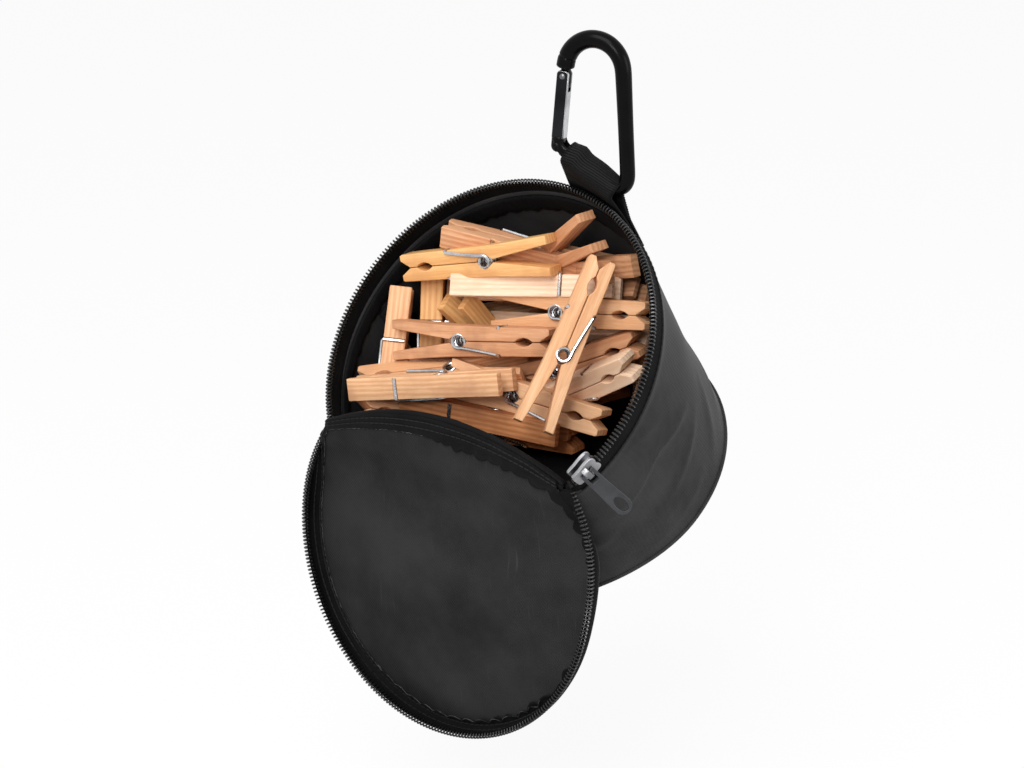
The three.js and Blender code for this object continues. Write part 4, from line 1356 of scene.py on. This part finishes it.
# Broad faces take the dark grey and rounded edges the pale metal: partly anodising and rubbed edges, partly a
# painted reflection of dark surroundings on the faces and a painted highlight along the edges.
for face in gate.data.polygons:
    face.material_index = 1 if abs(face.normal.dot(through_gate)) < broad_face else 0
neck_outline = []
for turn in spread(math.pi, 2 * math.pi, steps=12):
    neck_outline.append((neck_r * math.cos(turn), neck_r * math.sin(turn)))
neck_outline += [(neck_r, neck_l), (-neck_r, neck_l)]
neck_shape = placed(plate([neck_outline], 2 * neck_half, bevel=0.2), flat_on_gate)
neck = make_piece("gate_neck", neck_shape, anodised_grey_and_reflection)
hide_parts("carabiner_gate")
for piece in (gate, neck):
    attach(piece, "gate")


def rivet(z, radius, half_y):
    """A pin through the gate with a low dome on each end."""
    domes = [(0.05, 0.42), (0.45, 0.38), (0.8, 0.2), (1, 0), (0.62, -0.05), (0.6, -0.2)]
    stations = [(share * radius, half_y + rise) for share, rise in domes]
    stations += [(share, -y) for share, y in reversed(stations)]
    spokes = [(math.cos(turn), math.sin(turn)) for turn in full_turn(20)]
    rows = [[on_gate(reach * x, y, z + reach * up) for x, up in spokes] for reach, y in stations]
    return loft(rows, round_rows=True, caps=True)


pivot_rivet = make_piece("pivot_rivet", rivet(z=0, radius=1.5, half_y=3.1), black_anodised)
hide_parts("gate_pivot_pin")
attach(pivot_rivet, "carabiner")
latch_rivet = make_piece("latch_rivet", rivet(z=gate_l - 2.4, radius=1.2, half_y=2.4), plain_steel)
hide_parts("gate_latch_pin")
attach(latch_rivet, "gate")
for node in ("gate_plunger", "gate_spring"):
    for material_slot in frame["nodes"][node].material_slots:
        material_slot.material = plain_steel


# Pegs: wooden spring pegs, loose in the bag. Each is two planed pine legs that a steel spring presses
# together, with a notch for the line near the jaw. Some are new and pale, some have gone brown outdoors.
peg_w = 9.4
peg_half = peg_w / 2
# One leg from the side, 72 mm long: how far toward the jaw, and how far from where the two legs meet.
peg_leg = [
    (36, 3.0), (31.6, 0.15), (28.4, 0.15), (26.6, 1.3), (24.4, 1.8), (22.2, 1.3), (20.4, 0.15),
    (-1.6, 0.15), (-2.6, 1.4), (-4.0, 2.5), (-6.4, 2.6), (-8.0, 1.7), (-9.4, 0.7),
    (-36, 4.8), (-36, 8.4), (-10, 6.6), (6, 6.2), (12.0, 6.0), (12.4, 5.2), (13.6, 5.2), (14.0, 6.0),
    (26, 5.9), (35.2, 5.7), (36, 5.2),
]
spring_x = -5.2
spring_r = 2.7
spring_wire = 0.72
spring_turns = 4.5
turn_steps = 14
spring_steps = int(spring_turns * turn_steps)
arm_side = peg_half + spring_wire
upper_leg = plate([peg_leg], peg_w, bevel=0.45)
lower_leg = [(x, -y, z) for x, y, z in upper_leg[0]], [tuple(reversed(face)) for face in upper_leg[1]]
spring_path = [(13, 5.8, -peg_half + 0.6), (13, 5.9, 0), (13, 5.8, peg_half), (12.4, 5.2, arm_side)]
spring_path += [(5, 3.9, arm_side), (spring_x + 2.5, 2.8, arm_side)]
for step, side in enumerate(spread(arm_side, -arm_side, spring_steps)):
    turn = math.pi / 2 + 2 * math.pi * step / turn_steps
    spring_path.append((spring_x + spring_r * math.cos(turn), spring_r * math.sin(turn), side))
spring_path += [(spring_x + 2.5, -2.8, -arm_side), (5, -3.9, -arm_side), (12.4, -5.2, -arm_side)]
spring_path += [(13, -5.8, -peg_half), (13, -5.9, 0), (13, -5.8, peg_half - 0.6)]
spring_shape = tube([Vector((x, -y, z)) * mm for x, y, z in spring_path], spring_wire, sides=7)
leg_shape = placed(joined(upper_leg, lower_leg), lambda x, y, z: Vector((x, y, z)) * mm)
peg_shape = joined(leg_shape, spring_shape)


def pine(name, pale, dark, weathered):
    """Planed pine: early wood and darker growth lines along the leg, and fine pores, drawn wide enough
    to show. Weathered wood is darker in patches."""
    ring_mm, pore_mm, patch_mm = 2.2, 0.5, 16
    finish, tree, shader = new_finish(name, {"Roughness": 0.58, "Specular IOR Level": 0.35})
    place = add(tree, "TexCoord")["Object"]
    each = add(tree, "ObjectInfo")["Random"]
    apart = add(tree, "VectorMath", {"operation": "SCALE", 0: (0.3, 0.17, 0.23)}, {"Scale": each})[0]
    moved = add(tree, "VectorMath", {"operation": "ADD"}, {0: place, 1: apart})[0]
    stretched = add(tree, "Mapping", {"Scale": (0.06, 1, 1)}, {"Vector": moved})[0]
    bands = {"bands_direction": "Z", "Scale": math.pi / (10 * ring_mm * mm), "Distortion": 5}
    bands |= {"Detail": 3, "Detail Scale": 1.4}
    rings = add(tree, "TexWave", bands, {"Vector": stretched})["Fac"]
    fine = {"Scale": 1 / (pore_mm * mm), "Detail": 4, "Roughness": 0.7}
    pores = add(tree, "TexNoise", fine, {"Vector": stretched})["Fac"]
    patches = {"Scale": 1 / (patch_mm * mm), "Detail": 3}
    clouds = add(tree, "TexNoise", patches, {"Vector": moved})["Fac"]
    grain = add(tree, "Math", {"operation": "MULTIPLY_ADD", 1: 0.45}, {0: rings, 2: pores})[0]
    share = add(tree, "MapRange", {"From Min": 0.35, "From Max": 1.05}, {"Value": grain})[0]
    wood = add(tree, "Mix", {"data_type": "RGBA", 6: linear(pale), 7: linear(dark)}, {0: share})[2]
    stain = add(tree, "MapRange", {"From Min": 0.5, "From Max": 0.72, "To Max": 0.7}, {"Value": clouds})[0]
    colour = add(tree, "Mix", {"data_type": "RGBA", 7: linear(weathered)}, {0: stain, 6: wood})[2]
    paint(tree, shader, colour, grain, bump=0.25, bump_mm=0.15)
    return finish


# Spring steel: bright drawn wire with sharp thin highlights.
spring_steel = metal("spring_steel_wire", "#9c9da0", "#d6d7da", roughness=0.24, grit_mm=0.5, grit_depth=0.2)
# Pine: warm and matt, from new and pale to weathered and brown, its growth lines darker. Names give its tint.
woods = {
    "pale": pine("pale_pine", "#f6d9be", "#e3ba98", "#dfb896"),
    "yellow": pine("yellow_pine", "#efbf82", "#d5975a", "#cb8f5a"),
    "tan": pine("tan_pine", "#ebbd93", "#cf9668", "#c28d69"),
    "brown": pine("weathered_pine", "#dda981", "#b97d54", "#a06e4d"),
    "red": pine("red_pine", "#d0905f", "#a9673b", "#925838"),
}
peg_meshes = {}
for tint, wood in woods.items():
    sample = make_piece(f"peg_{tint}", peg_shape, wood, sharp=30)
    sample.data.materials.append(spring_steel)
    for face in sample.data.polygons:
        face.material_index = 1 if face.index >= len(leg_shape[1]) else 0
    peg_meshes[tint] = sample.data
    bpy.data.objects.remove(sample)


def below_mouth(pixel, depth):
    """The place on the line of sight through a pixel of the photograph, at a depth below the mouth in mm."""
    across = (pixel[0] - photo_width / 2) / lens_pixels
    up = (photo_height / 2 - pixel[1]) / lens_pixels
    ray = (view_right * across + view_up * up - view_back).normalized()
    plane = mouth_centre - out_of_mouth * depth * mm
    return camera_place + ray * ((plane - camera_place).dot(out_of_mouth) / ray.dot(out_of_mouth))


def lay_peg(name, tint, jaw, handle, roll):
    """Lays a peg along the line from its handle to its jaw. roll turns it from lying flat to the eye."""
    lengthwise = (jaw - handle).normalized()
    middle = (jaw + handle) / 2
    toward_eye = camera_place - middle
    width_axis = (toward_eye - lengthwise * toward_eye.dot(lengthwise)).normalized()
    width_axis = Quaternion(lengthwise, math.radians(roll)) @ width_axis
    peg = bpy.data.objects.new(name, peg_meshes[tint])
    axes = Matrix((lengthwise, width_axis.cross(lengthwise), width_axis)).transposed().to_4x4()
    peg.matrix_world = Matrix.Translation(middle) @ axes
    scene.collection.objects.link(peg)
    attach(peg, "bag")


# Wood, then the jaw's and the handle's place in the photograph, each with its depth, and the turn.
pegs = [
    ("yellow", (404, 267), 10, (557, 254), 8, -8),
    ("brown", (450, 234), 6, (603, 271), 28, 66),
    ("brown", (500, 291), 42, (594, 230), 5, 12),
    ("brown", (526, 272), 43, (619, 269), 17, 80),
    ("pale", (620, 288), 23, (457, 287), 16, 82),
    ("tan", (601, 263), 6, (534, 424), 11, 4),
    ("brown", (558, 342), 22, (394, 339), 14, 6),
    ("tan", (358, 388), 9, (503, 382), 13, 82),
    ("tan", (370, 382), 16, (514, 366), 30, 40),
    ("tan", (402, 290), 14, (382, 455), 30, 84),
    ("yellow", (434, 268), 21, (429, 440), 42, 84),
    ("brown", (460, 268), 30, (452, 440), 50, 84),
    ("yellow", (546, 400), 80, (463, 309), 24, 60),
    ("tan", (648, 316), 25, (499, 309), 23, 2),
    ("pale", (642, 332), 41, (500, 330), 42, 60),
    ("brown", (645, 340), 32, (496, 389), 44, 8),
    ("pale", (642, 361), 22, (510, 418), 52, 14),
    ("tan", (615, 426), 36, (444, 374), 24, 10),
    ("red", (409, 402), 22, (560, 432), 36, 75),
    ("red", (584, 440), 52, (430, 412), 48, 20),
    ("brown", (376, 411), 17, (500, 440), 60, 10),
    ("brown", (640, 292), 38, (510, 300), 48, 60),
    ("brown", (420, 352), 46, (560, 372), 44, 30),
    ("red", (480, 424), 62, (620, 376), 58, 20),
    ("brown", (610, 330), 52, (470, 352), 52, 75),
    ("red", (596, 384), 64, (470, 350), 66, 70),
    ("brown", (580, 402), 70, (440, 416), 66, 40),
    ("tan", (600, 300), 62, (470, 326), 50, 40),
]
for number, (tint, jaw_pixel, jaw_depth, handle_pixel, handle_depth, roll) in enumerate(pegs):
    jaw, handle = below_mouth(jaw_pixel, jaw_depth), below_mouth(handle_pixel, handle_depth)
    lay_peg(f"peg_{number + 1:02d}", tint, jaw, handle, roll)

# Pegs that the rim hides in the photograph: wood, the jaw's and the handle's place in the mouth's directions
# and the turn.
hidden_pegs = [
    ("tan", (42, 36, -56), (57, -32, -52), 60),
    ("brown", (36, -45, -60), (52, 17, -66), 10),
    ("pale", (50, -32, -66), (-8, -60, -54), 40),
    ("brown", (24, 38, -70), (56, -14, -68), 75),
    ("red", (-10, -62, -46), (54, -45, -46), 50),
]
for number, (tint, jaw_place, handle_place, roll) in enumerate(hidden_pegs):
    lay_peg(f"hidden_peg_{number + 1}", tint, in_mouth(*jaw_place), in_mouth(*handle_place), roll)
